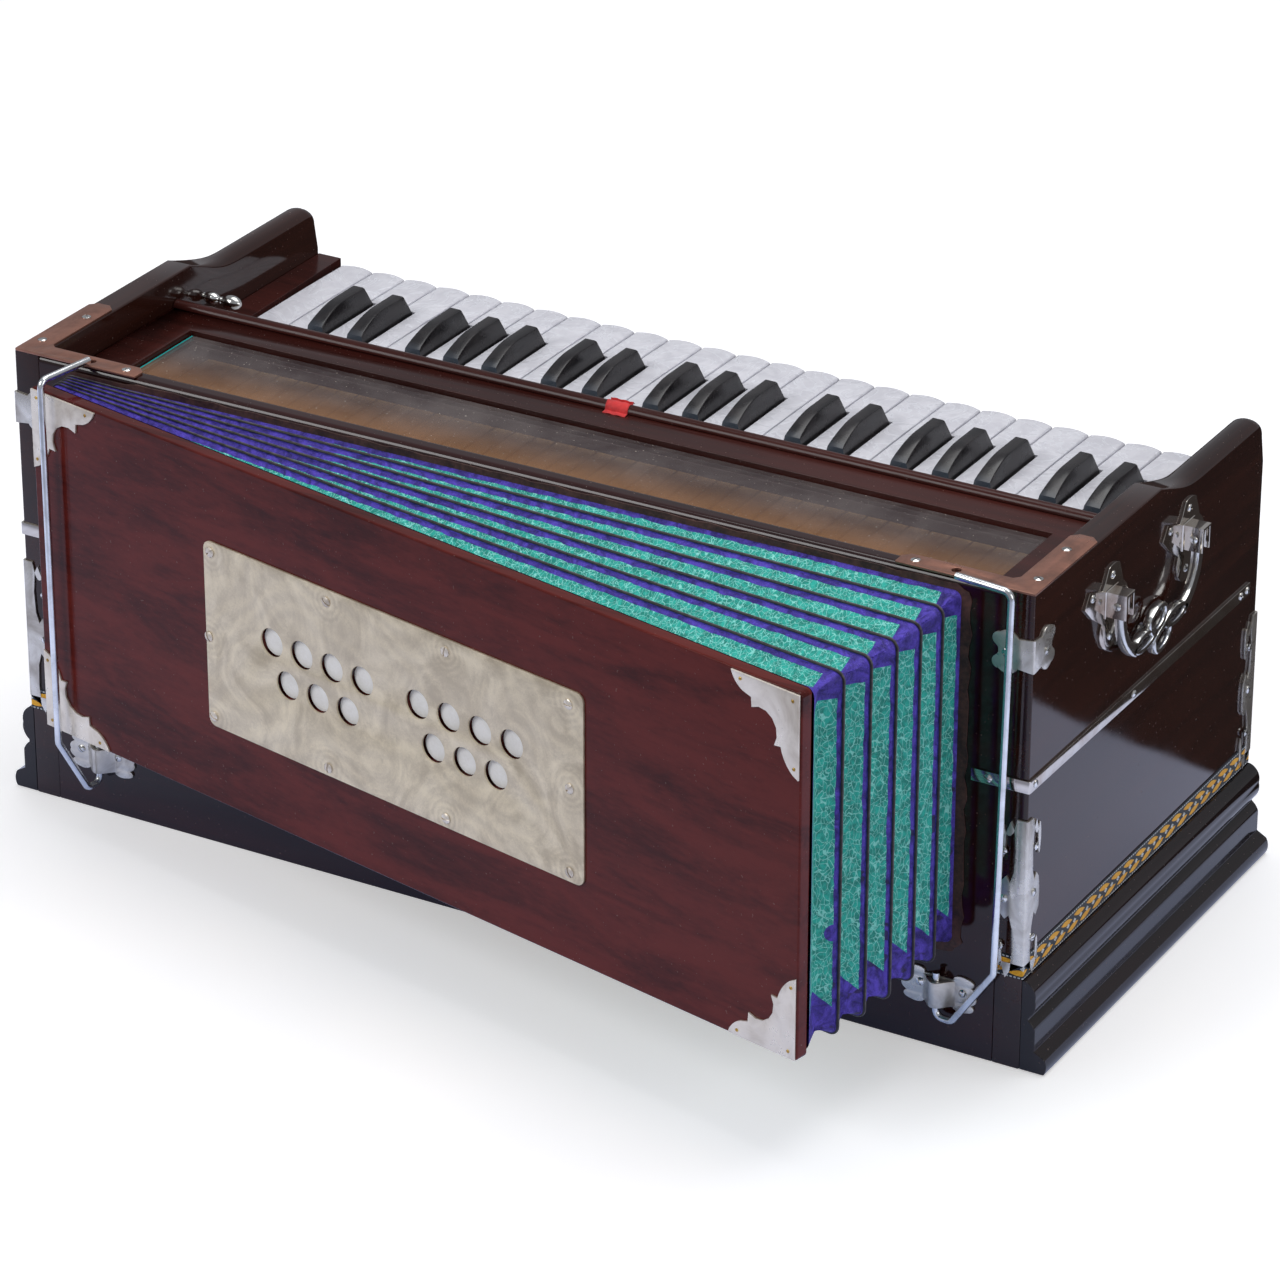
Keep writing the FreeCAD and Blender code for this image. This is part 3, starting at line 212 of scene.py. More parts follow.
def cornerArc(before, corner, after, radius, steps):
    # an arc that touches both runs at a corner: with the arc's turn t and its two end vectors,
    # centre + (sin((1 - s) t) first + sin(s t) second) / sin t
    arms = [before - corner, after - corner]
    arms = [arm / np.linalg.norm(arm) for arm in arms]
    half = math.acos(np.clip(arms[0] @ arms[1], -1, 1)) / 2
    middle = arms[0] + arms[1]
    centre = corner + middle / np.linalg.norm(middle) * radius / math.sin(half)
    first, second = (corner + arm * radius / math.tan(half) - centre for arm in arms)
    turn = math.pi - 2 * half
    share = np.linspace(0, 1, steps + 1)[:, None]
    return centre + (np.sin((1 - share) * turn) * first + np.sin(share * turn) * second) / math.sin(turn)


def roundedOutline(corners, radius, steps=4):
    # a polygon whose corners are arcs of one radius
    corners = np.asarray(corners, float)
    triples = zip(np.roll(corners, 1, 0), corners, np.roll(corners, -1, 0))
    return np.concatenate([cornerArc(*triple, radius, steps) for triple in triples])


def drawn(outline, steps=8):
    # an outline of points, and of (middle, end) pairs that stand for arcs through three points
    points = [np.array([outline[0]], float)]
    for step in outline[1:]:
        here = points[-1][-1]
        if not isinstance(step[0], tuple):
            points.append(np.array([step], float))
            continue
        middle, end = (np.array(point, float) - here for point in step)
        # the centre is equally far from all three points
        centre = np.linalg.solve(2 * np.stack([middle, end]), np.array([middle @ middle, end @ end]))
        start = math.atan2(-centre[1], -centre[0])
        sweep = (math.atan2(*(end - centre)[::-1]) - start) % (2 * math.pi)
        through = (math.atan2(*(middle - centre)[::-1]) - start) % (2 * math.pi)
        if through > sweep:
            sweep -= 2 * math.pi
        angle = start + sweep * np.linspace(0, 1, steps + 1)[1:]
        points.append(here + centre + np.hypot(*centre) * np.c_[np.cos(angle), np.sin(angle)])
    points = np.concatenate(points)
    return points[np.hypot(*(points - np.roll(points, 1, 0)).T) > 1e-6]


def sheet(outlines, thickness, soft=0.2):
    # a flat plate: the outlines are filled as a flat curve with a rounded edge, later ones are holes
    curve = bpy.data.curves.new("sheet", "CURVE")
    curve.dimensions, curve.fill_mode = "2D", "BOTH"
    curve.extrude = thickness / 2 - soft
    curve.bevel_depth, curve.bevel_resolution, curve.offset = soft, 1, -soft
    for outline in outlines:
        spline = curve.splines.new("POLY")
        spline.points.add(len(outline) - 1)
        flat = np.c_[outline, np.zeros(len(outline)), np.ones(len(outline))]
        spline.points.foreach_set("co", flat.ravel())
        spline.use_cyclic_u = True
    holder = bpy.data.objects.new("sheet", curve)
    mesh = bpy.data.meshes.new_from_object(holder)
    points = np.zeros(len(mesh.vertices) * 3)
    mesh.vertices.foreach_get("co", points)
    groups = {}
    for polygon in mesh.polygons:
        groups.setdefault(len(polygon.vertices), []).append(tuple(polygon.vertices))
    bpy.data.objects.remove(holder)
    bpy.data.meshes.remove(mesh)
    bpy.data.curves.remove(curve)
    return points.reshape(-1, 3), [(np.array(faces), 0) for faces in groups.values()]


def ring(radius, sides=24):
    # a circle of corners, counter-clockwise
    angle = np.arange(sides) * 2 * math.pi / sides
    return radius * np.c_[np.cos(angle), np.sin(angle)]


def bentPath(corners, bend, steps=6):
    # straight runs joined by arcs
    corners = np.asarray(corners, float)
    arcs = [cornerArc(*triple, bend, steps) for triple in zip(corners, corners[1:], corners[2:])]
    return np.concatenate([corners[:1], *arcs, corners[-1:]])


def swept(path, section, normal):
    # a closed section carried along a flat path: its u lies in the path's plane, its v along the plane's normal
    path = np.asarray(path, float)
    ahead = np.gradient(path, axis=0)
    ahead /= np.linalg.norm(ahead, axis=1)[:, None]
    side = np.cross(ahead, normal)
    side /= np.linalg.norm(side, axis=1)[:, None]
    points = path[:, None] + section[None, :, :1] * side[:, None] + section[None, :, 1:] * np.asarray(normal)
    return points.reshape(-1, 3), capped(len(path), len(section))


def turned(profile, sides=32):
    # a profile of (along, radius) points turned about its own axis, (a, r cos t, r sin t)
    profile = np.asarray(profile, float)
    angle = np.arange(sides) * 2 * math.pi / sides
    along = np.broadcast_to(profile[:, :1], (len(profile), sides))
    points = np.stack([along, profile[:, 1:] * np.cos(angle), profile[:, 1:] * np.sin(angle)], -1)
    return points.reshape(-1, 3), [(gridFaces(len(profile), sides, wrapColumns=True), 0)]


def screwHead(radius, rise, turn, slot=0.16):
    # a disc of lines along the slot: (u sqrt(1 - v^2), v) R, domed by rise (1 - r^2), the slot's lines sunk
    lines = np.array([-1, -0.8, -0.5, -slot - 0.02, -slot, slot, slot + 0.02, 0.5, 0.8, 1])
    columns = np.linspace(-1, 1, 9)
    u = columns[None, :] * np.sqrt(1 - lines[:, None] ** 2) + 0 * lines[:, None]
    v = lines[:, None] + 0 * columns[None, :]
    height = 0.35 * rise + 0.65 * rise * (1 - u**2 - v**2)
    height = np.where(np.abs(v) <= slot + 0.001, height - 0.55 * rise, height)
    cos, sin = math.cos(turn), math.sin(turn)
    top = np.stack([(u * cos - v * sin) * radius, (u * sin + v * cos) * radius, height], -1).reshape(-1, 3)
    skirt, sides = ring(radius, 16), gridFaces(2, 16, wrapColumns=True)
    low, high = np.c_[skirt, np.full(16, -0.2)], np.c_[skirt, np.full(16, 0.36 * rise)]
    dome = (top, [(gridFaces(len(lines), len(columns)), 0)])
    return joined(dome, (np.concatenate([low, high]), [(sides, 0)]))


def screws(spots, normal, along, radius=1.9, rise=0.9):
    # screw heads at spots on a face with that outward normal, each turned another way
    across = np.cross(along, normal)
    made = [laid(screwHead(radius, rise, 0.7 + 1.9 * i), spot, across, along) for i, spot in enumerate(spots)]
    return joined(*made)


class Wire:
    # an output socket; arithmetic on it adds Math nodes to the same finish
    def __init__(self, finish, socket):
        self.finish, self.socket = finish, socket

    def math(self, operation, first, second=0.0):
        return self.finish.math(operation, first, second)

    def __add__(self, other):
        return self.math("ADD", self, other)

    def __sub__(self, other):
        return self.math("SUBTRACT", self, other)

    def __rsub__(self, other):
        return self.math("SUBTRACT", other, self)

    def __mul__(self, other):
        return self.math("MULTIPLY", self, other)

    def __truediv__(self, other):
        return self.math("DIVIDE", self, other)

    def __gt__(self, other):
        return self.math("GREATER_THAN", self, other)

    def __lt__(self, other):
        return self.math("LESS_THAN", self, other)

    def __abs__(self):
        return self.math("ABSOLUTE", self)

    __radd__ = __add__
    __rmul__ = __mul__


def tone(red, green, blue):
    # a colour as the eye reads it, 0 to 255, made linear for the shader
    share = np.array([red, green, blue]) / 255
    linear = np.where(share <= 0.04045, share / 12.92, ((share + 0.055) / 1.055) ** 2.4)
    return (*linear.tolist(), 1.0)


class Finish:
    # a Principled material; constants are set on its own sockets and what varies is linked
    def __init__(self, name, **constants):
        self.material = bpy.data.materials.new(name)
        self.material.use_nodes = True
        self.tree = self.material.node_tree
        self.surface = self.tree.nodes["Principled BSDF"]
        for key, value in constants.items():
            self.surface.inputs[socketNames[key]].default_value = value

    def add(self, kind, settings, sockets, out=0):
        # a node: its settings first, then the values or links of its sockets
        node = self.tree.nodes.new(kind)
        for key, value in settings.items():
            setattr(node, key, value)
        for key, value in sockets.items():
            if isinstance(value, Wire):
                self.tree.links.new(value.socket, node.inputs[key])
            else:
                node.inputs[key].default_value = value
        return Wire(self, node.outputs[out])

    def math(self, operation, first, second=0.0):
        return self.add("ShaderNodeMath", {"operation": operation}, {0: first, 1: second})

    def feed(self, wires):
        for key, wire in wires.items():
            self.tree.links.new(wire.socket, self.surface.inputs[key])
        return self

    def look(self, colour, roughness, height, depth, strength=1.0):
        # what most finishes vary: colour, roughness, and a bump of some depth in millimetres
        wires = {"Base Color": colour, "Roughness": roughness, "Normal": self.bump(height, depth, strength)}
        return self.feed(wires)

    def spot(self, stretch=(1, 1, 1), turn=0.0):
        # object coordinates, turned about Z and stretched
        here = self.add("ShaderNodeTexCoord", {}, {}, "Object")
        sockets = {"Vector": here, "Rotation": (0, 0, turn), "Scale": stretch}
        return self.add("ShaderNodeMapping", {"vector_type": "POINT"}, sockets)

    def part(self, axis):
        # one object coordinate in metres: 0, 1 or 2 for x, y or z
        return self.add("ShaderNodeSeparateXYZ", {}, {0: self.spot()}, axis)

    def distance(self, place):
        # metres from a place given in object coordinates
        return self.add("ShaderNodeVectorMath", {"operation": "DISTANCE"}, {0: self.spot(), 1: tuple(place)}, "Value")

    def noise(self, scale, detail=3.0, rough=0.55, at=None, bend=0.0):
        sockets = {"Vector": at or self.spot(), "Scale": scale, "Detail": detail}
        return self.add("ShaderNodeTexNoise", {}, {**sockets, "Roughness": rough, "Distortion": bend})

    def spread(self, wire, low, high, first=0.0, last=1.0):
        settings = {"clamp": True, "interpolation_type": "SMOOTHSTEP"}
        return self.add("ShaderNodeMapRange", settings, {0: wire, 1: low, 2: high, 3: first, 4: last})

    def mix(self, factor, first, second):
        return self.add("ShaderNodeMix", {"data_type": "RGBA"}, {0: factor, 6: first, 7: second}, 2)

    def shades(self, wire, low, high, dark, light):
        # a wire spread from low to high as the mix of two colours
        return self.mix(self.spread(wire, low, high), dark, light)

    def bump(self, height, depth, strength=1.0):
        sockets = {"Height": height, "Distance": depth * metre, "Strength": strength}
        return self.add("ShaderNodeBump", {}, sockets)

    def mark(self, name):
        return self.add("ShaderNodeAttribute", {"attribute_name": name}, {}, "Fac")


socketNames = {
    "rough": "Roughness",
    "metal": "Metallic",
    "ior": "IOR",
    "shine": "Specular IOR Level",
    "coat": "Coat Weight",
    "coatRough": "Coat Roughness",
    "sheen": "Sheen Weight",
    "sheenRough": "Sheen Roughness",
}


def grain(axis, across, lengthwise):
    # pattern scales: fine across, coarse along one axis, or even where no axis is given
    scales = [across] * 3
    if axis is not None:
        scales[axis] = lengthwise
    return scales


def woodFinish(name, dark, light, axis, rough=0.16, turn=0.0, shine=0.5, depth=0.02, streak=0.9):
    # lacquered wood: long streaks along one axis, fine pores in them, dust specks and a faint orange peel
    finish = Finish(name, shine=shine)
    streaks = finish.noise(1.0, 5.0, 0.6, finish.spot(grain(axis, 46.0, 2.4), turn), 0.6)
    pores = finish.noise(1.0, 3.0, 0.7, finish.spot(grain(axis, 420.0, 9.0), turn))
    broad = finish.noise(5.0, 2.0, 0.5)
    colour = finish.shades(streaks * streak + pores * 0.35 + broad * 0.35, 0.55, 1.05, dark, light)
    dust = finish.spread(finish.noise(620.0, 1.0, 0.4), 0.735, 0.78)
    colour = finish.mix(dust * 0.22, colour, tone(150, 130, 122))
    peel = finish.noise(130.0, 2.0, 0.5)
    haze = finish.noise(14.0, 4.0, 0.6)
    roughness = finish.spread(haze, 0.3, 0.75, rough * 0.7, rough * 1.5) + dust * 0.25
    return finish.look(colour, roughness, peel + pores * 0.3, depth, 0.6)


def rawWood(name, dark, light, axis, rough=0.55):
    # bare or lightly varnished wood: streaks and short dark pores
    finish = Finish(name, shine=0.35)
    streaks = finish.noise(1.0, 6.0, 0.65, finish.spot(grain(axis, 60.0, 4.0)), 1.2)
    blotch = finish.noise(18.0, 3.0, 0.5)
    colour = finish.shades(streaks + blotch * 0.5, 0.45, 1.05, dark, light)
    roughness = finish.spread(streaks, 0.3, 0.7, rough, rough + 0.2)
    return finish.look(colour, roughness, streaks, 0.15)


def metalFinish(name, bright, dull, rough, brushed=None, depth=0.03, metal=1.0, stain=0.35):
    # sheet or cast metal: fine scratches, cloudy tarnish and a few rougher patches
    finish = Finish(name, metal=metal)
    scratch = finish.noise(1.0, 4.0, 0.7, finish.spot(grain(brushed, 260.0, 14.0)))
    cloud = finish.noise(38.0, 5.0, 0.62, None, 0.8)
    colour = finish.shades(cloud, 0.5 - stain * 0.3, 0.8, bright, dull)
    roughness = finish.spread(scratch * 0.6 + cloud * 0.6, 0.4, 0.85, rough * 0.75, rough * 1.5)
    return finish.look(colour, roughness, scratch, depth, 0.7)


print("finishes")
cheekLacquer = woodFinish("cheek_lacquer", tone(30, 14, 11), tone(54, 27, 20), 1, 0.08)
wallLacquer = woodFinish("wall_lacquer", tone(26, 8, 8), tone(50, 16, 14), 0, 0.1)
frameLacquer = woodFinish("frame_lacquer", tone(42, 17, 14), tone(70, 30, 25), 0, 0.2, 0.0, 0.25)
boardTurn = math.radians(12.3)  # the open board's angle, so that its grain runs along it
boardTones = (tone(56, 18, 16), tone(102, 38, 33))
boardLacquer = woodFinish("board_lacquer", *boardTones, 0, 0.1, boardTurn, 0.17, 0.02, 1.0)
mouldingLacquer = woodFinish("moulding_lacquer", tone(14, 9, 10), tone(30, 17, 18), 1, 0.1)
chestWood = rawWood("chest_wood", tone(96, 58, 32), tone(160, 108, 64), 0)
leverWood = rawWood("lever_wood", tone(170, 122, 70), tone(214, 172, 116), 1)
nickel = metalFinish("nickel", tone(220, 216, 208), tone(166, 158, 148), 0.3, None, 0.03, 0.88)
strapSteel = metalFinish("strap_steel", tone(214, 208, 200), tone(170, 150, 136), 0.1, None, 0.01)
chrome = metalFinish("chrome", tone(226, 226, 224), tone(176, 174, 170), 0.13, None, 0.05)
wireChrome = metalFinish("wire_chrome", tone(232, 234, 236), tone(182, 184, 186), 0.2)
tarnished = metalFinish("tarnished_steel", tone(170, 120, 102), tone(108, 80, 70), 0.34, 1, 0.04, 0.75, 0.5)
cornerSteel = metalFinish("corner_steel", tone(240, 231, 218), tone(196, 184, 170), 0.34, None, 0.03, 0.55)
brass = metalFinish("brass", tone(214, 178, 96), tone(150, 112, 52), 0.3)


def ventFinish(centres):
    # engine-turned sheet: overlapping swirls from waves bent by noise, cream where it is dull,
    # and rings round each screw: the sine of the distance to the nearest one, fading outward
    finish = Finish("swirled_plate", metal=0.5)
    nearest = finish.distance(centres[0])
    for centre in centres[1:]:
        nearest = finish.math("MINIMUM", nearest, finish.distance(centre))
    here = finish.spot((1, 1, 1), boardTurn)
    swirl = {"wave_type": "RINGS", "rings_direction": "Y", "bands_direction": "DIAGONAL"}
    sockets = {"Vector": here, "Scale": 17.0, "Distortion": 26.0, "Detail": 3.0, "Detail Scale": 0.7}
    bands = finish.add("ShaderNodeTexWave", swirl, sockets)
    fine = finish.noise(420.0, 3.0, 0.6, here, 2.0)
    cloud = finish.noise(26.0, 4.0, 0.6, here, 2.4)
    rings = finish.math("SINE", nearest * 1700.0 + cloud * 13.0) * (1 - finish.spread(nearest, 0.005, 0.02))
    shade = bands * 0.12 + fine * 0.3 + cloud * 0.95 + rings * 0.06
    colour = finish.shades(shade, 0.4, 1.0, tone(196, 181, 155), tone(244, 230, 202))
    roughness = finish.spread(bands + cloud, 0.4, 1.6, 0.38, 0.5)
    return finish.look(colour, roughness, bands * 0.1 + fine, 0.012, 0.4)


def pearlFinish():
    # pearly celluloid: cloudy folds with bright creases and a clear top
    finish = Finish("pearl", coat=0.35, coatRough=0.08, shine=0.5)
    fold = finish.noise(34.0, 3.0, 0.55, None, 2.6)
    crease = 1 - finish.spread(abs(fold - 0.5), 0.0, 0.05)
    cloud = finish.noise(70.0, 3.0, 0.6, None, 1.2)
    colour = finish.shades(cloud, 0.3, 0.7, tone(207, 206, 213), tone(223, 222, 228))
    colour = finish.mix(crease * 0.35, colour, tone(232, 234, 240))
    return finish.look(colour, finish.spread(fold, 0.3, 0.7, 0.2, 0.36), fold, 0.1, 0.3)


def sharpFinish():
    # polished black-brown: fine sanding lines along the key, and a painted highlight: paler on the faces that look
    # toward the glass
    finish = Finish("sharp_black", shine=0.5)
    lines = finish.noise(1.0, 4.0, 0.6, finish.spot(grain(1, 300.0, 16.0)))
    cloud = finish.noise(60.0, 3.0, 0.6)
    colour = finish.shades(lines + cloud * 0.6, 0.5, 1.1, tone(14, 13, 16), tone(40, 36, 37))
    # painted highlight: faces that look toward the glass are mixed toward pale slate
    normal = finish.add("ShaderNodeTexCoord", {}, {}, "Normal")
    highlightSide = finish.add("ShaderNodeSeparateXYZ", {}, {0: normal}, 1)
    colour = finish.shades(highlightSide, -0.35, -0.7, colour, tone(68, 76, 86))  # paler where it faces the glass
    return finish.look(colour, finish.spread(cloud, 0.3, 0.7, 0.2, 0.34), lines, 0.03, 0.7)


def foldFinish(spot):
    # grained leather with a pale web of creases, and cloth tape where the marks say so;
    # the marks are millimetres from the nearest rib, and shares of the bands at the corners
    finish = Finish("bellows_leather", sheen=0.04, sheenRough=0.5, shine=0.4)
    here = finish.spot((1.0, 1.0, 0.62))
    bent = finish.add("ShaderNodeTexNoise", {}, {"Vector": here, "Scale": 120.0, "Detail": 2.0}, "Color")
    shove = finish.add("ShaderNodeVectorMath", {"operation": "SCALE"}, {0: bent, "Scale": 0.008})
    here = finish.add("ShaderNodeVectorMath", {"operation": "ADD"}, {0: here, 1: shove})
    settings = {"feature": "DISTANCE_TO_EDGE"}
    wide, close = (
        1 - finish.spread(finish.add("ShaderNodeTexVoronoi", settings, {"Vector": here, "Scale": scale}), 0.0, edge)
        for scale, edge in ((400.0, 0.1), (680.0, 0.08))
    )
    web = finish.spread(wide + close * 0.5, 0.2, 1.0)
    cloud = finish.noise(260.0, 3.0, 0.6)
    leather = finish.shades(cloud, 0.35, 0.65, tone(0, 134, 120), tone(34, 182, 166))
    leather = finish.mix(web * 0.75, leather, tone(160, 240, 230))
    weave = finish.noise(900.0, 2.0, 0.6)
    crumple = finish.noise(90.0, 4.0, 0.6, None, 1.5)
    cloth = finish.shades(crumple + weave * 0.25, 0.4, 0.85, tone(34, 18, 106), tone(92, 72, 200))
    blot = finish.spread(finish.noise(70.0, 2.0, 0.5, finish.spot((1, 1, 1.4))), 0.6, 0.64) * (finish.part(2) < 0.16)
    cloth = finish.mix(blot * 0.8, cloth, tone(26, 8, 46))
    wander = (finish.noise(130.0, 2.0, 0.5) - 0.5) * 1.6
    cover = finish.distance(spot) < 0.0048
    for mark, share, limit in (("rim", 1.0, 3.0), ("band", 0.03, 1.0), ("foot", 0.05, 1.0)):
        cover = finish.math("MAXIMUM", cover, finish.mark(mark) + wander * share < limit)
    colour = finish.mix(cover, leather, cloth)
    roughness = finish.spread(cloud + cover * 0.1, 0.3, 0.8, 0.42, 0.6)
    return finish.look(colour, roughness, web * -0.8 + cover * 1.2 + crumple * cover * 2.5, 0.3, 0.8)


def ribFinish():
    # the ribs' edge: black board with a painted grey highlight along the middle of its rounded edge, violet cloth
    # lapped on its flanks
    finish = Finish("rib_edge", sheen=0.1, shine=0.4)
    wear = finish.noise(240.0, 3.0, 0.6)
    black = finish.shades(wear, 0.35, 0.7, tone(8, 6, 10), tone(40, 34, 42))
    highlightGrey = finish.shades(wear, 0.35, 0.65, tone(40, 38, 40), tone(86, 82, 84))
    # painted highlight: grey along the crest of the rounded edge, where the mark is small, broken up by the noise
    colour = finish.shades(wear * 0.6 - finish.mark("highlightCrest"), -0.35, -0.05, black, highlightGrey)
    cloth = finish.shades(wear, 0.3, 0.7, tone(36, 20, 106), tone(88, 68, 190))
    colour = finish.mix(finish.mark("lap") > 0.5, colour, cloth)
    return finish.look(colour, finish.spread(wear, 0.3, 0.7, 0.4, 0.6), wear, 0.12, 0.7)


def clothFinish(name, dark, light, scale=700.0, rough=0.6):
    # plain cloth or leather: a fine tooth and soft folds
    finish = Finish(name, sheen=0.1, shine=0.35)
    tooth = finish.noise(scale, 2.0, 0.6)
    fold = finish.noise(60.0, 4.0, 0.6, None, 0.8)
    colour = finish.shades(tooth * 0.4 + fold * 0.8, 0.35, 0.85, dark, light)
    roughness = finish.spread(fold, 0.3, 0.7, rough, rough + 0.2)
    return finish.look(colour, roughness, tooth + fold * 2, 0.15, 0.8)


def braidFinish():
    # woven braid: navy ground, two rows of pointed leaves, a pale lozenge between, stitches at both edges
    finish = Finish("braid", sheen=0.2, shine=0.3)
    along, repeat = finish.mark("along"), 15.0
    middle = finish.mark("up") - 6.5

    def leaf(start, height, slant):
        # a lens that tapers to a point: |v| < w (1 - 1.3 (2t - 1)^2), leaning by the slant
        share = finish.math("FRACT", along / repeat + start)
        across = (middle - height) + (share - 0.5) * slant
        swell = 1 - (share * 2.0 - 1.0) * (share * 2.0 - 1.0) * 1.3
        return abs(across) < swell * 1.7

    leaves = leaf(0.0, 2.7, 1.8) + leaf(0.5, -2.7, -1.8)
    rib = finish.math("SINE", along * 9.0)
    tooth = finish.noise(1300.0, 1.0, 0.5)
    fade = tooth + finish.noise(160.0, 3.0, 0.6) * 0.5
    navy = finish.shades(fade, 0.4, 1.0, tone(8, 14, 22), tone(26, 40, 56))
    gold = finish.shades(fade, 0.4, 1.0, tone(214, 140, 12), tone(250, 190, 52))
    pale = finish.shades(tooth, 0.3, 0.7, tone(150, 158, 166), tone(232, 236, 240))
    quarter = finish.math("FRACT", along / (repeat / 2) + 0.25)
    lozenge = abs(middle) * 0.9 + abs(quarter - 0.5) * 5.0 < 1.3
    dash = finish.math("FRACT", along / 2.3)
    stitch = (abs(abs(middle) - 5.6) < 0.4) * (dash < 0.6)
    colour = finish.mix(lozenge, finish.mix(leaves, navy, gold), pale)
    colour = finish.mix(stitch, colour, pale)
    height = rib * 0.3 + tooth * 0.5 + leaves * 0.7 + stitch * 1.1
    return finish.look(colour, finish.spread(tooth, 0.2, 0.8, 0.6, 0.8), height, 0.22, 0.8)


def glassFinish():
    # old window glass: clear in the middle, dusty brown film, greenish cut edges painted bright teal as a highlight
    finish = Finish("dusty_glass", rough=0.06, shine=0.6, ior=1.5)
    film = finish.noise(16.0, 5.0, 0.65, None, 0.5)
    speck = finish.spread(finish.noise(700.0, 1.0, 0.4), 0.72, 0.78)
    # the cut edges: the glass's own green tint, painted brighter as a teal highlight
    edge = abs(finish.part(0)) > 0.2655
    near = finish.spread(finish.part(1), -0.05, -0.098)
    colour = finish.shades(film, 0.3, 0.7, tone(78, 66, 68), tone(112, 102, 100))
    colour = finish.mix(near * 0.8, colour, tone(166, 112, 62))
    colour = finish.mix(speck, colour, tone(190, 180, 168))
    colour = finish.mix(edge, colour, tone(40, 160, 158))
    alpha = finish.spread(film, 0.25, 0.75, 0.34, 0.56) + speck * 0.3 + edge * 0.6
    roughness = finish.spread(film, 0.3, 0.7, 0.05, 0.16)
    return finish.feed({"Base Color": colour, "Alpha": alpha, "Roughness": roughness})


pearl = pearlFinish()
sharpBlack = sharpFinish()
ribEdge = ribFinish()
glass = glassFinish()
braid = braidFinish()
buffLeather = clothFinish("buff_leather", tone(240, 238, 234), tone(254, 253, 252))
redTape = clothFinish("red_tape", tone(150, 20, 26), tone(214, 52, 52), 500.0, 0.42)
brownTape = clothFinish("brown_strip", tone(40, 20, 18), tone(92, 60, 52), 500.0, 0.5)


# Case

print("case")
softCopy("case_walls", "wall_boards", 0.7, [wallLacquer], "case", "case_lacquer")
softCopy("case_base", "base_and_mouldings", 0.5, [mouldingLacquer], "case", "moulding_lacquer")
softCopy("top_frame", "glass_frame", 0.7, [frameLacquer], "case", "frame_lacquer")
keyBlocks = ((275.2, -1, 196.2), (300, 200, 300))
chestFinishes = [chestWood, frameLacquer]
softCopy("wind_chest", "chest_boards", 0.7, chestFinishes, "case", "chest_wood", second=keyBlocks)
for node, finish in (("top_glass", glass), ("reed_plates", brass)):
    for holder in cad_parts[node].material_slots:
        holder.material = finish.material

cheek = {
    "high": 272.0,
    "low": 262.0,
    "stepStart": 8.0,
    "stepFoot": 60.0,
    "nose": 10.0,
    "crown": 4.6,  # fall of the rounded top from its middle to its edges
    "crownStart": 14.0,
    "crownLength": 34.0,
    "crownFoot": 236.0,
    "edge": 0.9,
}


def cheekBoard(inner):
    # the board's side outline carried through its thickness; past the step the edge grows to a full round
    c = cheek
    sweep = math.atan2(c["high"] - c["low"], c["stepFoot"] - c["stepStart"])
    radius = (c["stepFoot"] - c["stepStart"]) / math.sin(2 * sweep)
    angle = np.linspace(0, 2 * sweep, 15)
    hollow = np.c_[c["stepFoot"] - radius * np.sin(angle), c["low"] + radius * (1 - np.cos(angle))]
    turn = np.linspace(0, math.pi / 2, 9)
    nose = np.c_[case["rear"] - c["nose"] * (1 - np.cos(turn)), c["low"] - c["nose"] * (1 - np.sin(turn))]
    level = np.c_[np.linspace(case["rear"] - c["nose"], c["stepFoot"], 8)[1:-1], np.full(6, c["low"])]
    top = np.c_[np.linspace(c["stepStart"], case["front"], 6)[1:], np.full(5, c["high"])]
    rear, foot = case["rear"], c["crownFoot"]
    sides = np.array([(case["front"], 0.0), (rear, 0.0), (rear, 120.0), (rear, foot)])
    outline = np.concatenate([sides, nose, level, hollow, top])
    y, z = outline.T
    past = np.clip((y - c["crownStart"]) / c["crownLength"], 0, 1)
    past = past * past * (3 - 2 * past) * np.clip((z - foot) / 12, 0, 1)
    soft = c["edge"] + (c["crown"] - c["edge"]) * past
    width = c["edge"] + (case["cheek"] / 2 - 0.2 - c["edge"]) * past
    shape = block(outline, inner, inner + case["cheek"], soft, soft, width, width, 7)
    return laid(shape, (0, 0, 0), farWay, upWay)


cheeks = joined(cheekBoard(case["halfLength"] - case["cheek"]), cheekBoard(-case["halfLength"]))
addPiece("case_cheeks", cheeks, [cheekLacquer], "case", "case_lacquer", ("side_cheeks",), 32)

braidSizes = {"low": 53.2, "height": 13.0, "thickness": 0.8, "frontReturn": 16.0, "edge": 0.35}


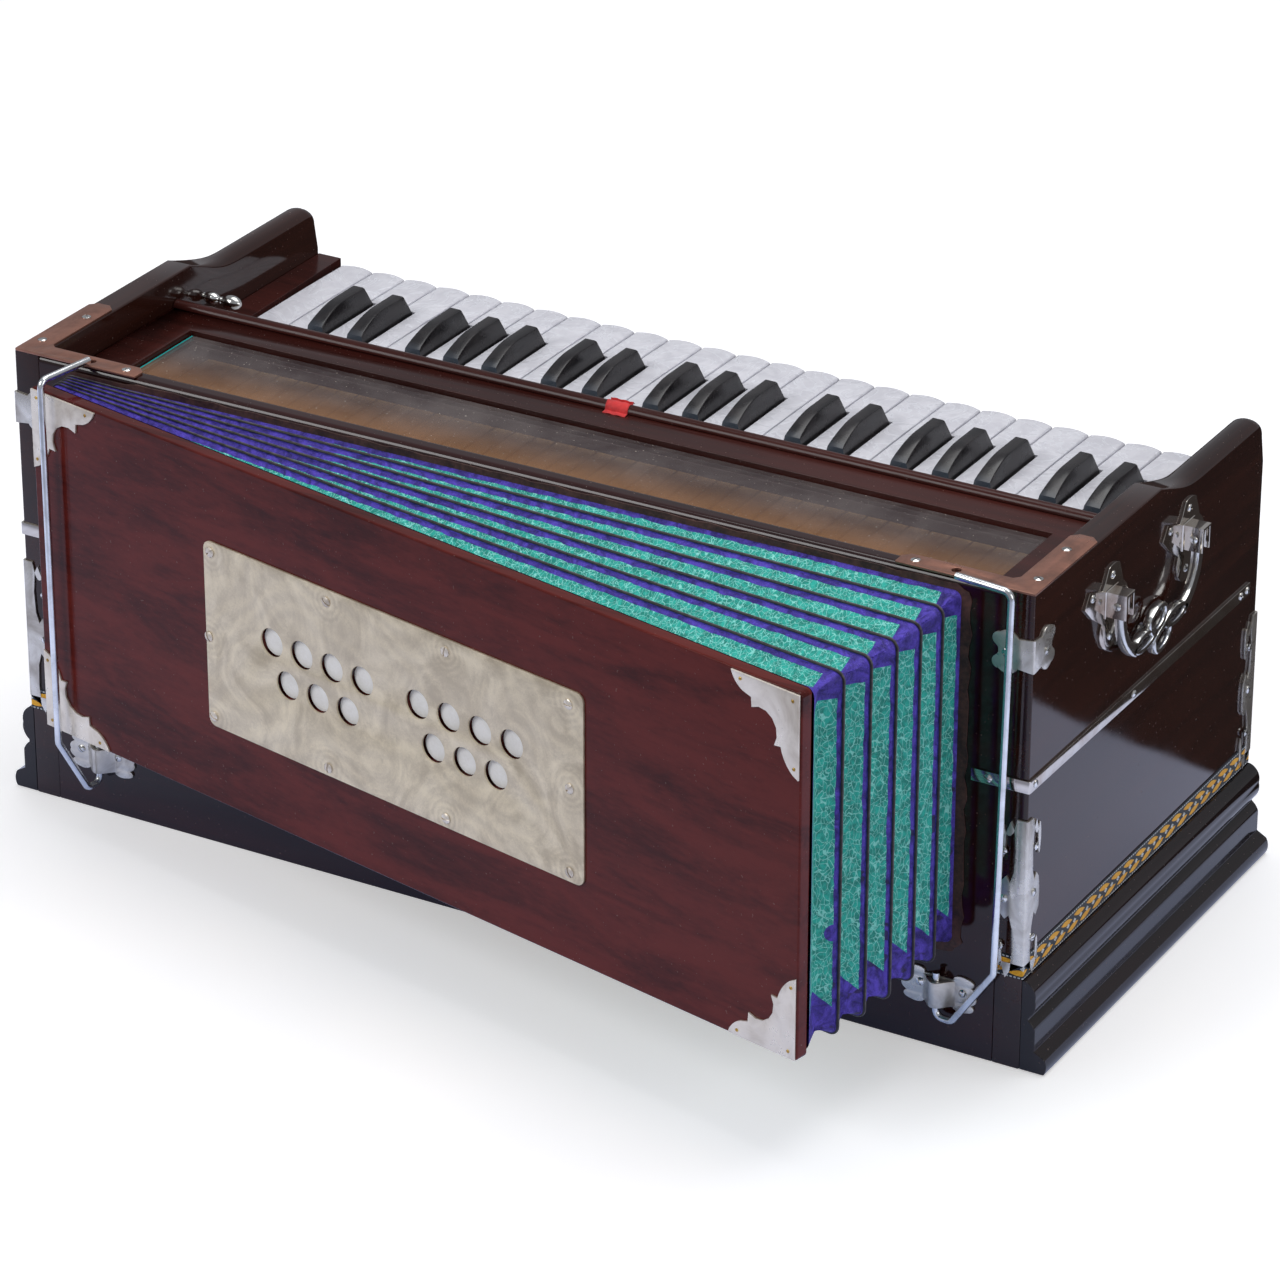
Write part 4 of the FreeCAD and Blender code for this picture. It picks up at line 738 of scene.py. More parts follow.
def braidStrip(hand):
    # a flat strip bent round the front corner: its plan path times its height, in front and back layers
    b, x, front, steps = braidSizes, case["halfLength"], case["front"], 60
    turn = np.linspace(0, math.pi / 2, 5)
    side = np.c_[np.full(steps, x), np.linspace(front + 1, case["rear"] - 0.3, steps)]
    base = np.concatenate([[(x - b["frontReturn"], front)], np.tile((x, front), (5, 1)), side])
    way = np.concatenate([[(0, -1)], np.c_[np.sin(turn), -np.cos(turn)], np.tile((1, 0), (steps, 1))])
    rows = np.array([0, b["edge"], b["height"] / 2, b["height"] - b["edge"], b["height"]])
    levels, outs = np.r_[rows, rows[::-1]], np.r_[b["edge"], 1, 1, 1, b["edge"], np.zeros(5)]
    count, lines, out = len(base), len(levels), way * b["thickness"]
    plan = base[None] + out[None] * outs[:, None, None]
    points = np.c_[plan.reshape(-1, 2), np.repeat(levels, count) + b["low"]] * (hand, 1, 1)
    length = np.r_[0, np.cumsum(np.hypot(*np.diff(base + out, axis=0).T))]
    faces, first = gridFaces(lines, count, wrapRows=True), np.arange(lines) * count
    marks = {"along": np.tile(length, lines), "up": np.repeat(levels, count)}
    return (points, [(faces, 0), (first[None, :], 0), (first[None, :] + count - 1, 0)]), marks


for side, word in ((1, "right"), (-1, "left")):
    strip, marks = braidStrip(side)
    addPiece(word + "_braid", strip, [braid], "case", "bellows_leather", marks=marks)

# A plain tape tag folded over the half-round rail
tag = {
    "left": -11.5,
    "right": 2.5,
    "near": -15.5,
    "far": -1.2,
    "railMiddle": -7.5,
    "railRadius": 4.0,
    "top": 253.0,
    "slant": -0.12,
    "droop": 0.9,
    "thickness": 0.3,
}


def tapeTag():
    # over the rail z = sqrt(r^2 - (y - m)^2), past it a straight fall, and slight waves in both directions
    t = tag
    y, x = np.linspace(t["near"], t["far"], 40)[:, None], np.linspace(t["left"], t["right"], 12)[None, :]
    rise = np.sqrt(np.clip((t["railRadius"] + 0.35) ** 2 - (y - t["railMiddle"]) ** 2, 0.12, None))
    railEnd = t["railMiddle"] + t["railRadius"]
    rise = np.where(y > railEnd, 4.3 - (y - railEnd) * t["droop"], rise)
    z = t["top"] + rise + 0.18 * np.sin(x * 1.1 + y * 0.6)
    points = np.stack([x + (y - t["near"]) * t["slant"], np.broadcast_to(y, z.shape), z], -1)
    return points.reshape(-1, 3), [(gridFaces(40, 12), 0)]


tagPiece = addPiece("tape_tag", tapeTag(), [redTape], "case", "board_lacquer", closed=False)
tagPiece.modifiers.new("thickness", "SOLIDIFY").thickness = tag["thickness"] * metre

# Keys

print("keys")
keyboard = {
    "pitch": 22.0,
    "gap": 1.0,
    "start": -1.5,
    "headStart": 95.5,
    "front": 137.5,
    "bulge": 3.0,
    "leverLow": 212.0,
    "leverTop": 224.0,
    "top": 231.0,
    "tailEnd": -120.0,
    "chestTop": 196.0,
    "half": 275.0,
}
pallet = {"front": -94.0, "slope": 3.0, "leather": 2.2}
sharpTop = {"half": 5.5, "flare": 3.4, "rise": 11.8, "riser": 4.6, "riserShare": 0.448, "endSlope": 6.6, "edge": 0.9}
innerFinishes = [leverWood, buffLeather, brass]
noteNames = ["c", "c_sharp", "d", "d_sharp", "e", "f", "f_sharp", "g", "g_sharp", "a", "a_sharp", "b"]


def keyPlan():
    # name, whether it is a sharp, and the x range of its tail and of its head
    k, white = keyboard, 0
    for index in range(42):
        octave, step = divmod(index, 12)
        start = octave * 7 * k["pitch"]
        slot = 3 * k["pitch"] / 5 if step < 5 else 4 * k["pitch"] / 7
        low = start + step * slot if step < 5 else start + 3 * k["pitch"] + (step - 5) * slot
        high = low + (k["pitch"] if index == 41 else slot)
        sharp = "sharp" in noteNames[step]
        head = None if sharp else (k["half"] - (white + 1) * k["pitch"], k["half"] - white * k["pitch"])
        white += not sharp
        yield "key_%s_%d" % (noteNames[step], octave + 1), sharp, (k["half"] - high, k["half"] - low), head


spring = {"radius": 0.7, "near": -95.0, "far": -62.0, "half": 4.6, "rise": 5.0, "sunk": 0.1}


def hairpin(middle):
    # a spring on the lever, seen through the glass: two legs and a half circle, x = m + h sin t
    s, turn = spring, np.linspace(-math.pi / 2, math.pi / 2, 9)
    loop, leg = np.c_[s["half"] * np.sin(turn), s["near"] + s["half"] * (1 - np.cos(turn))], s["half"] * 0.7
    flat = np.concatenate([[(-leg, s["far"])], loop, [(leg, s["far"])]])
    share = np.clip((flat[:, 1] - s["near"]) / (s["far"] - s["near"]), 0, 1)
    lift = keyboard["leverTop"] + s["radius"] - s["sunk"] + s["rise"] * share
    return swept(np.c_[flat[:, 0] + middle, flat[:, 1], lift], ring(s["radius"], 6), upWay)


def leverShape(low, high, end):
    # the wooden lever, its spring, and the leathered pallet under its tail
    k, rear, front, slope = keyboard, keyboard["tailEnd"], pallet["front"], pallet["slope"]
    foot, top = k["chestTop"] + pallet["leather"], k["leverLow"]
    lever = box((low, rear, top), (high, end, k["leverTop"] - 0.05), 0.4, 1)
    side = roundedOutline([(rear, foot), (front, foot), (front - slope, top), (rear + slope, top)], 0.4, 2)
    wood = laid(block(side, low, high, 0.3, steps=1), (0, 0, 0), farWay, upWay)
    pad = box((low, rear, k["chestTop"]), (high, front, foot), 0.5, 1)
    return joined(painted(lever, 1), painted(wood, 1), painted(pad, 2), painted(hairpin((low + high) / 2), 3))


def whiteKey(name, tail, head):
    # tail and head in one cover: the outline carried down with soft edges, softest at the arched end
    k, half, neck, inward = keyboard, keyboard["gap"] / 2, keyboard["headStart"], 0.15
    t0, t1, h0, h1 = tail[0] + half, tail[1] - half, head[0] + half, head[1] - half
    share = np.linspace(0, 1, 13)
    arch = np.c_[h1 + (h0 - h1) * share, k["front"] - k["bulge"] + k["bulge"] * 4 * share * (1 - share)]
    right = [(t1, neck), (h1, neck)] if h1 - t1 > 0.05 else [(t1, neck)]
    left = [(h0, neck), (t0, neck)] if t0 - h0 > 0.05 else [(t0, neck)]
    outline = np.concatenate([[(t0, k["start"]), (t1, k["start"])], right, arch, left])
    soft = np.full(len(outline), 0.55)
    soft[2 + len(right) : 2 + len(right) + len(arch)] = 1.5
    cover = block(outline, k["leverTop"], k["top"], soft, inward, steps=4)
    body = np.concatenate([[(h0 + inward, neck + 0.2), (h1 - inward, neck + 0.2)], arch - (0, inward)])
    body = block(body, k["leverLow"], k["leverTop"], 0.1, 0.6, steps=2)
    shape = joined(cover, body, leverShape(t0, t1, neck))
    addPiece(name + "_natural", shape, [pearl, *innerFinishes], name, "key_pearl", (name,), 40)


def sharpKey(name, tail):
    # a closed section of a soft-edged trapezium carried along the key; its height follows the swelling back,
    # which rises from the riser's height to the full one over its first half, fast at first
    k, s = keyboard, sharpTop
    middle, start, far = (tail[0] + tail[1]) / 2, k["start"], k["headStart"] - k["gap"]
    riser = start + (far - start) * s["riserShare"]
    swell, edge = np.linspace(0, 1, 12), 0.25
    back = s["riser"] + (s["rise"] - s["riser"]) * np.sin(swell * math.pi / 2) ** 0.9
    back[0] -= edge
    swellY = riser + edge + ((far - riser) / 2 - edge) * swell
    slope = far - s["endSlope"]
    y = np.r_[start, start + 0.3, riser - edge, riser - 0.05, swellY, slope, slope + 0.8, far - 0.3, far]
    rise = np.r_[-0.3, 0.0, 0.0, 0.0, back, s["rise"], s["rise"] - 0.6, 0.4, 0.0]
    half = s["half"] - np.clip(rise, 0, None) * s["flare"] / s["rise"] / 2
    turn = np.linspace(0, math.pi / 2, 4)
    edgeSize = np.clip(rise * 0.2 + edge, edge, s["edge"])[:, None]
    arcX = half[:, None] - edgeSize * (1 - np.cos(turn))
    arcZ = (k["top"] + rise)[:, None] - edgeSize * (1 - np.sin(turn))
    foot = np.full((len(y), 1), k["leverTop"])
    waist = np.minimum(k["top"] - 0.5, arcZ[:, :1] - 0.05)
    full = np.full((len(y), 1), s["half"])
    sideX, sideZ = np.concatenate([full, full, arcX], 1), np.concatenate([foot, waist, arcZ], 1)
    x = np.concatenate([sideX, -sideX[:, ::-1]], 1) + middle
    z = np.concatenate([sideZ, sideZ[:, ::-1]], 1)
    points = np.stack([x, np.broadcast_to(y[:, None], x.shape), z], -1).reshape(-1, 3)
    cover = (points, capped(len(y), x.shape[1]))
    shape = joined(cover, leverShape(middle - s["half"], middle + s["half"], far))
    addPiece(name + "_sharp_key", shape, [sharpBlack, *innerFinishes], name, "sharp_black", (name,), 28)


for name, sharp, tail, head in keyPlan():
    if sharp:
        sharpKey(name, tail)
    else:
        whiteKey(name, tail, head)

# Bellows

print("bellows")
bellows = {
    "pivotX": -276.0,
    "pivotY": -157.5,
    "angle": 12.3,
    "left": -276.0,
    "right": 271.0,
    "low": 62.0,
    "high": 267.0,
    "stack": 17.5,
    "corner": 6.0,
    "folds": 6,
    "ribThickness": 1.8,
    "ribDepth": 9.0,
    "ribCloth": 1.4,  # depth at which the cloth laps on the rib's flanks
}


def swung(points, share):
    # turned about the hinge's upright line by a share of the open angle
    angle = -math.radians(bellows["angle"]) * np.asarray(share)
    x, y = points[..., 0] - bellows["pivotX"], points[..., 1] - bellows["pivotY"]
    turnedX = bellows["pivotX"] + x * np.cos(angle) - y * np.sin(angle)
    turnedY = bellows["pivotY"] + x * np.sin(angle) + y * np.cos(angle)
    return np.stack([turnedX, turnedY, points[..., 2]], -1)


def foldRing(edgeSteps=(64, 30)):
    # the folds' outline from the bottom left, counter-clockwise in (x, z): points and outward directions
    b = bellows
    r = b["corner"]
    centres = [(b["right"] - r, b["low"] + r), (b["right"] - r, b["high"] - r)]
    centres += [(b["left"] + r, b["high"] - r), (b["left"] + r, b["low"] + r)]
    points, outward = [], []
    for i, centre in enumerate(centres):
        turn = (i - 1) * math.pi / 2 + np.linspace(0, math.pi / 2, 7)
        way = np.c_[np.cos(turn), np.sin(turn)]
        arc = np.array(centre) + r * way
        later = np.array(centres[(i + 1) % 4]) + r * way[-1]
        steps = edgeSteps[(i + 1) % 2]
        share = np.linspace(0, 1, steps + 2)[1:-1, None]
        points += [arc, arc[-1] + (later - arc[-1]) * share]
        outward += [way, np.repeat(way[-1:], steps, 0)]
    return np.concatenate(points), np.concatenate(outward)


ringPoints, ringWays = foldRing()
ringCount = len(ringPoints)
reach = ringPoints[:, 0] - bellows["pivotX"]


def atShare(outline, share, y=0.0):
    # an (x, z) outline of the closed folds, put at its share of the stack and then swung
    depth = case["front"] - bellows["stack"] * np.asarray(share) + y
    points = np.stack([outline[..., 0], np.broadcast_to(depth, outline.shape[:-1]), outline[..., 1]], -1)
    return swung(points, share)


def smoothTime(weight):
    # where the smooth step 3t^2 - 2t^3 reaches a weight
    return 0.5 - math.sin(math.asin(1 - 2 * weight) / 3)


def blendFold(piece, first, last, spread):
    # spread is half of the piece's width across the folds, at its far end
    middle = (first + last) / 2
    angle = -math.radians(bellows["angle"]) * middle
    way = np.array([math.sin(angle), -math.cos(angle), 0.0])
    origin = np.array([bellows["pivotX"], bellows["pivotY"], 160.0])
    # the fold's middle plane passes beside the hinge line by what is left of the stack
    origin = origin + way * (bellows["stack"] * middle - bellows["stack"])
    startTime, endTime = smoothTime(first), smoothTime(last)
    length = 2 * spread / (endTime - startTime) if endTime > startTime else 2000.0
    start = origin - way * (spread + startTime * length)
    end = start + way * length
    tuple(start * metre)
    tuple(end * metre)
    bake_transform(piece)


def foldRib(i):
    # a thin frame: a section with a rounded outer edge carried round the outline
    b = bellows
    share = i / b["folds"]
    half = b["ribThickness"] / 2
    turn = np.linspace(-math.pi / 2, math.pi / 2, 7)
    rim = np.c_[half * np.cos(turn) - half, half * np.sin(turn)]
    depth, cloth = b["ribDepth"], b["ribCloth"]
    section = np.concatenate([[(-depth, -half), (-cloth, -half)], rim, [(-cloth, half), (-depth, half)]])
    # the board thins towards the hinge
    thin = np.clip(0.42 + reach / 300, 0, 1)[:, None]
    outline = ringPoints[:, None] + ringWays[:, None] * section[None, :, :1]
    points = atShare(outline, share, section[None, :, 1] * thin)
    lapped = section[:, 0] < 0.2 - cloth
    # the mark is 0 on the rounded edge's crest, where the painted highlight goes, 1 at its sides and 2 or more on the
    # lapped flanks
    highlightCrest, lap = np.tile(np.abs(section[:, 1]) / half + lapped * 2, ringCount), np.tile(lapped * 1.0, ringCount)
    shape = (points.reshape(-1, 3), [(gridFaces(ringCount, len(section), True, True), 0)])
    piece = addPiece("bellows_rib_%d" % i, shape, [ribEdge], None, "bellows_leather", marks={"highlightCrest": highlightCrest, "lap": lap})
    blendFold(piece, share, share, 0)
    return piece


def foldBay(i):
    # leather between two ribs: s runs across, the outline round; the valley sinks by (1 - |2s - 1|^1.12)
    # times 0.31 of the bay's width, less where the outline turns a corner, with small wobbles
    b = bellows
    rows = 15
    s = np.linspace(0, 1, rows)[:, None]
    wide = b["stack"] / b["folds"] + reach * math.radians(b["angle"]) / b["folds"]
    valley = 1 - np.abs(2 * s - 1) ** 1.12
    onBend = np.abs(ringWays).max(1)
    near = np.min([np.hypot(*(ringPoints - spot).T) for spot in ringPoints[onBend < 0.999]], 0)
    easing = np.clip(near / 16, 0, 1)
    depth = 0.8 + wide * 0.31 * (0.7 + 0.3 * easing * easing * (3 - 2 * easing))
    right, top, low = b["right"] - ringPoints[:, 0], b["high"] - ringPoints[:, 1], ringPoints[:, 1] - b["low"]
    onTop = np.maximum(right / 11.5, top / 14.0)
    onLow = np.maximum(right / 14.0, low / (15.0 + 13.0 * (1 - np.abs(2 * s - 1))))
    corner = np.clip(1.6 - np.minimum(onTop, onLow), 0, 1)
    wobble = np.sin(ringPoints[:, 1] * 1.9 + i * 2.1) * np.sin(ringPoints[:, 0] * 1.3 + s * 9 + i)
    ripple = 0.12 * np.sin(ringPoints.sum(1) * 0.11 + i * 1.7)
    sink = 1.1 + valley * (depth + corner * 0.45 * wobble + ripple)
    outline = ringPoints[None] - ringWays[None] * sink[..., None]
    share = (i + s) / b["folds"]
    points = atShare(outline, np.broadcast_to(share, sink.shape))
    rim = np.minimum(s, 1 - s) * np.hypot(wide, 2 * depth) + np.zeros_like(sink)
    hinge = np.where(reach < 26, 5.0, 0.0)[None]
    rim = rim * (1 - 0.15 * np.abs(ringWays[:, 1]))
    marks = {"rim": (rim - hinge).ravel(), "band": (onTop + 0 * s).ravel(), "foot": onLow.ravel()}
    shape = (points.reshape(-1, 3), [(gridFaces(rows, ringCount, wrapColumns=True), 0)])
    name = "bellows_bay_%d" % (i + 1)
    piece = addPiece(name, shape, [foldLeather], None, "bellows_leather", closed=False, marks=marks)
    spread = (b["stack"] + (b["right"] - b["left"]) * math.radians(b["angle"])) / b["folds"] / 2
    blendFold(piece, i / b["folds"], (i + 1) / b["folds"], spread)
    return piece


patch = {"x": 268.5, "z": 122.0, "fold": 5.12}  # one round patch low on the rib nearest the board
patchSpot = atShare(np.array([patch["x"], patch["z"]]), patch["fold"] / bellows["folds"]) * metre
foldLeather = foldFinish(patchSpot.tolist())
folds = [foldRib(i) for i in range(1, bellows["folds"])] + [foldBay(i) for i in range(bellows["folds"])]
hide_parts("bellows_folds")

# The strips that hold the folds to the case, with a torn outer edge
flange = {"out": 6.0, "in": -4.0, "thickness": 0.7, "hingeReach": 40.0, "hingeOut": 1.0, "topShare": 0.55}


def foldFlange():
    # a flat band carried round the folds' outline; its outer edge is torn by two sine waves
    f, step = flange, np.arange(ringCount)
    torn = f["out"] * (0.62 + 0.1 * np.sin(step * 1.7) + 0.09 * np.sin(step * 4.1))
    torn = np.where(reach > f["hingeReach"], torn, f["hingeOut"])
    torn = np.where(ringWays[:, 1] > 0.5, torn * f["topShare"], torn)
    inner = np.full(ringCount, f["in"])
    line = ringPoints[:, None] + ringWays[:, None] * np.stack([inner, torn, torn, inner], 1)[..., None]
    y = case["front"] - np.array([0.05, 0.05, f["thickness"], f["thickness"]])
    points = np.stack([line[..., 0], np.broadcast_to(y, (ringCount, 4)), line[..., 1]], -1)
    return points.reshape(-1, 3), [(gridFaces(ringCount, 4, True, True), 0)]


addPiece("fold_flange", foldFlange(), [brownTape], "case", "bellows_leather")

# Pumping board

print("board")
softCopy("bellows_board", "pump_board", 1.1, [boardLacquer], "pumping_board", "board_lacquer", 3)
board = {
    "left": -281.0,
    "right": 269.0,
    "low": 60.0,
    "high": 266.0,
    "face": -165.5,
    "ventX": -11.0,
    "ventZ": 162.0,
    "ventLength": 274.0,
    "ventHeight": 110.0,
    "ventCorner": 5.0,
    "hole": 8.2,  # radius
    "holePitch": 22.3,
    "holeGroups": 53.5,  # from the plate's middle to each group's middle
    "holeTop": 172.0,
    "holeRow": 21.7,
    "discSunk": 1.9,
}
onBoard = (0.0, board["face"] - case["steel"] / 2, 0.0)


def onFace(shape):
    # a closed-pose shape in (x, z) laid on the board's face and swung open
    points, groups = laid(shape, onBoard, rightWay, upWay)
    return swung(points, 1.0), groups


def ventHoles():
    # four holes over three on each side of the plate's middle
    for side in (-1, 1):
        for row, count in enumerate((4, 3)):
            for i in range(count):
                x = board["ventX"] + side * board["holeGroups"] + (i - (count - 1) / 2) * board["holePitch"]
                yield x, board["holeTop"] - row * board["holeRow"]


def steelSheet(*outlines):
    # a plate of the sheet steel, its cut edges slightly rounded
    return sheet(outlines, case["steel"], 0.15)


halfLong, halfHigh = board["ventLength"] / 2, board["ventHeight"] / 2
ventCorners = [(-halfLong, -halfHigh), (halfLong, -halfHigh), (halfLong, halfHigh), (-halfLong, halfHigh)]
ventOutline = roundedOutline(ventCorners, board["ventCorner"], 6) + (board["ventX"], board["ventZ"])
ventPlate = steelSheet(ventOutline, *(ring(board["hole"], 40) + centre for centre in ventHoles()))

# outlines are in shares of a plate's length and height; a pair of points is an arc's middle and end
corner = {
    "shares": [
        *((0.0, 0.0), (1.0, 0.0), ((0.93, 0.12), (0.82, 0.2)), (0.7, 0.235), (0.69, 0.35)),
        *(((0.43, 0.35), (0.355, 0.69)), (0.26, 0.68), ((0.19, 0.84), (0.08, 0.96)), (0.0, 1.0)),
    ],
    "nails": np.array([(0.09, 0.09), (0.86, 0.07), (0.06, 0.88)]),
    "leftLength": 50.0,
    "rightLength": 44.0,
    "height": 46.5,
    "inset": 1.0,
}
plates, nails = [onFace(ventPlate)], []
for x, length in (
    (board["left"] + corner["inset"], corner["leftLength"]),
    (board["right"] - corner["inset"], -corner["rightLength"]),
):
    for z, height in (
        (board["low"] + corner["inset"], corner["height"]),
        (board["high"] - corner["inset"], -corner["height"]),
    ):
        outline = drawn(corner["shares"], 6) * (length, height) + (x, z)
        outline = outline if length * height > 0 else outline[::-1]
        plates.append(painted(onFace(steelSheet(outline)), 1))
        nails += (corner["nails"] * (length, height) + (x, z)).tolist()
# places of the vent plate's screws from the board's left edge
ventScrews = [(138, 210.8), (225, 210), (311, 209.7), (397, 208.8), (135, 160), (397.6, 161)]
ventScrews += [(136.7, 112.7), (223.6, 111.8), (309.8, 112.4), (397.3, 112.6)]
skin = 0.02  # gap under each screw head
face = board["face"] - case["steel"] - skin
spots = [(board["left"] + u, face, z) for u, z in ventScrews]
swirledPlate = ventFinish((swung(np.array(spots), 1.0) * metre).tolist())
steelLook = ([swirledPlate, cornerSteel], "pumping_board", "plate_steel")
addPiece("board_steel_plates", joined(*plates), *steelLook, ("board_plates",), 30)


def opened(shape):
    # a closed-pose shape swung open with the board
    return swung(shape[0], 1.0), shape[1]


heads = opened(screws(spots, -farWay, upWay, 2.9, 1.3))
addPiece("vent_plate_screws", heads, [cornerSteel], "pumping_board", "plate_steel", closed=False)
heads = opened(screws([(x, face, z) for x, z in nails], -farWay, upWay, 0.95, 0.5))
addPiece("corner_nails", heads, [brass], "pumping_board", "reed_brass", closed=False)

# Pale leather at the bottom of the wells behind the holes
discProfile = [(0.3, 0), (0.3, 8.0), (-0.2, 8.05), (-0.35, 6.0), (-0.4, 0)]
discY = board["face"] + board["discSunk"]
discs = [opened(laid(turned(discProfile, 24), (x, discY, z), farWay, upWay)) for x, z in ventHoles()]
addPiece("vent_leathers", joined(*discs), [buffLeather], "pumping_board", "bellows_leather")

# Steel fittings on the case

print("fittings")
steelSide, steelFront = case["halfLength"] + case["steel"], case["front"] - case["steel"]
clip = {
    "axisX": 263.0,
    "axisY": -144.2,
    "wire": 1.98,  # radius
    "bend": 4.5,
    "low": 20.5,
    "foot": 46.5,
    "knee": 57.0,
    "hookZ": 275.8,
}
smallAngle = {
    "shares": [
        *((0.0, 0.1), (0.36, 0.14), ((0.6, -0.02), (0.84, 0.06)), ((1.02, 0.2), (0.94, 0.36))),
        *(((0.86, 0.5), (0.94, 0.64)), ((1.02, 0.8), (0.84, 0.94)), ((0.6, 1.02), (0.36, 0.86)), (0.0, 0.9)),
    ],
    "leg": 22.0,
    "height": 23.0,
    "top": 250.0,
}
longAngle = {
    "shares": [
        *((0.0, 0.0), (0.8, 0.0), ((1.0, 0.06), (0.84, 0.13)), ((0.42, 0.2), (0.74, 0.3)), (0.96, 0.34)),
        *(((0.99, 0.45), (0.9, 0.56)), (0.72, 0.6), ((0.4, 0.68), (0.8, 0.76)), ((1.0, 0.83), (0.8, 0.9))),
        *(((0.5, 0.91), (0.36, 1.0)), (0.0, 1.0)),
    ],
    "leg": 14.5,
    "height": 84.0,
    "top": 145.5,
}


def bentPlate(plate, atRear=False):
    # two flat legs with the same cut outline and a quarter-round bend between them
    outline = drawn(plate["shares"], 7) * (plate["leg"], plate["height"])
    low, thickness, x = plate["top"] - plate["height"], case["steel"], case["halfLength"]
    flat, edgeY, outY = steelSheet(outline), case["rear"] if atRear else case["front"], 1 if atRear else -1
    end = laid(flat, (x, edgeY + outY * thickness / 2, low), -rightWay, upWay)
    along = laid(flat, (x + thickness / 2, edgeY, low), farWay * -outY, upWay)
    turn = np.linspace(0, math.pi / 2, 6)
    bend = np.r_[[(0, 0)], thickness * np.c_[np.cos(turn), np.sin(turn)]] * (1, outY) + (x, edgeY)
    lowEdge, highEdge = outline[0][1] + low, outline[-1][1] + low
    return joined(end, along, block(bend if outY > 0 else bend[::-1], lowEdge, highEdge, 0.05, steps=1))


topCorner = {
    "reach": 79.0,
    "depth": 75.0,
    "frontWidth": 12.0,
    "sideWidth": 15.5,
    "cut": 4.0,
    "hole": 2.6,  # radius
    "lift": 0.6,
}


def topPlate():
    # the worn L-shaped plate on a top corner, with the catch hole
    t, x, y = topCorner, case["halfLength"], case["front"]
    cut, side, end = t["cut"], x - t["sideWidth"], x - t["reach"]
    plan = [(x, y), (x, y + t["depth"] - cut), (x - cut, y + t["depth"]), (side + cut, y + t["depth"])]
    plan += [(side, y + t["depth"] - cut), (side, y + t["frontWidth"] + 3), (side - 3, y + t["frontWidth"])]
    plan += [(end + cut, y + t["frontWidth"]), (end, y + t["frontWidth"] - cut), (end, y)]
    hole = ring(t["hole"], 20) + (clip["axisX"], y + t["frontWidth"] / 2)
    plate = steelSheet(roundedOutline(plan, 1.0, 2), hole)
    return laid(plate, (0, 0, case["top"] + t["lift"]), rightWay, farWay)


strap = {"frontLeg": 32.0, "end": 128.0, "low": 161.5, "high": 168.5}


def sideStrap():
    # a flat strap bent round the corner: its plan carried up by its width
    x, y, leg, end = case["halfLength"], case["front"], case["halfLength"] - strap["frontLeg"], strap["end"]
    turn = np.linspace(-math.pi / 2, 0, 5)
    bend = np.c_[x + case["steel"] * np.cos(turn), y + case["steel"] * np.sin(turn)]
    outline = np.concatenate([[(leg, steelFront)], bend, [(steelSide, end), (x, end), (x, y), (leg, y)]])
    return block(outline, strap["low"], strap["high"], 0.2, steps=2)


knuckle = {
    "shares": [
        *((0.2, -0.72), (0.4, -0.72), ((0.54, -1.0), (0.74, -0.96)), ((0.92, -0.82), (0.86, -0.5))),
        *(((0.99, -0.3), (0.99, 0.0)), ((0.99, 0.3), (0.86, 0.5)), ((0.92, 0.82), (0.74, 0.96))),
        *(((0.54, 1.0), (0.4, 0.72)), (0.2, 0.72)),
    ],
    "halfWidth": 21.5,
    "halfHeight": 10.5,
    "z": 35.0,
    "humpHalf": 9.5,
    "humpOut": 7.15,
    "humpHeight": 15.0,
    "humpZ": 34.5,
    "bore": 2.25,
}


def clipBracket():
    # two lobes either side of a hump, y = out ((1 + cos(pi u)) / 2)^0.72, through which the wire passes
    k, axisX = knuckle, clip["axisX"]
    right = drawn(k["shares"], 6) * (k["halfWidth"], k["halfHeight"])
    lobes = steelSheet(np.concatenate([right, right[::-1] * (-1, 1)]) + (axisX, k["z"]))
    lobes = laid(lobes, (0, steelFront + case["steel"] / 2, 0), rightWay, upWay)
    share = np.linspace(-1, 1, 29)
    out = steelFront - 0.05 - k["humpOut"] * (0.5 + 0.5 * np.cos(share * math.pi)) ** 0.72
    bell = np.c_[share * k["humpHalf"] + axisX, out]
    hump = sheet([bell, ring(k["bore"], 20) + (axisX, clip["axisY"])], k["humpHeight"], 0.4)
    return joined(lobes, laid(hump, (0, 0, k["humpZ"]), rightWay, farWay))


handle = {"middle": -5.5, "span": 93.0, "pivotZ": 233.0, "drop": 37.0, "x": 317.0, "thickness": 5.0, "eye": 3.3}
pivots = (handle["middle"] - handle["span"] / 2, handle["middle"] + handle["span"] / 2)
bracket = {
    "shares": [
        *((0.0, -1.0), ((0.22, -0.92), (0.32, -0.7)), (0.34, -0.3), (0.8, -0.1), (0.66, 0.24), (0.5, 0.4)),
        *((0.4, 0.7), (0.32, 0.92), ((0.12, 0.99), (-0.12, 0.96)), (-0.25, 0.68), (-0.36, 0.54), (-0.9, 0.76)),
        *((-1.1, 0.44), (-0.8, 0.1), (-0.36, -0.25), ((-0.33, -0.8), (0.0, -1.0))),
    ],
    "size": (28.3, 24.0),
    "z": 229.7,
    "halfWidth": 5.0,  # the clevis, its walls and how far it stands out
    "halfHeight": 7.0,
    "wall": 1.4,
    "out": 12.2,
    "lip": 7.5,
}


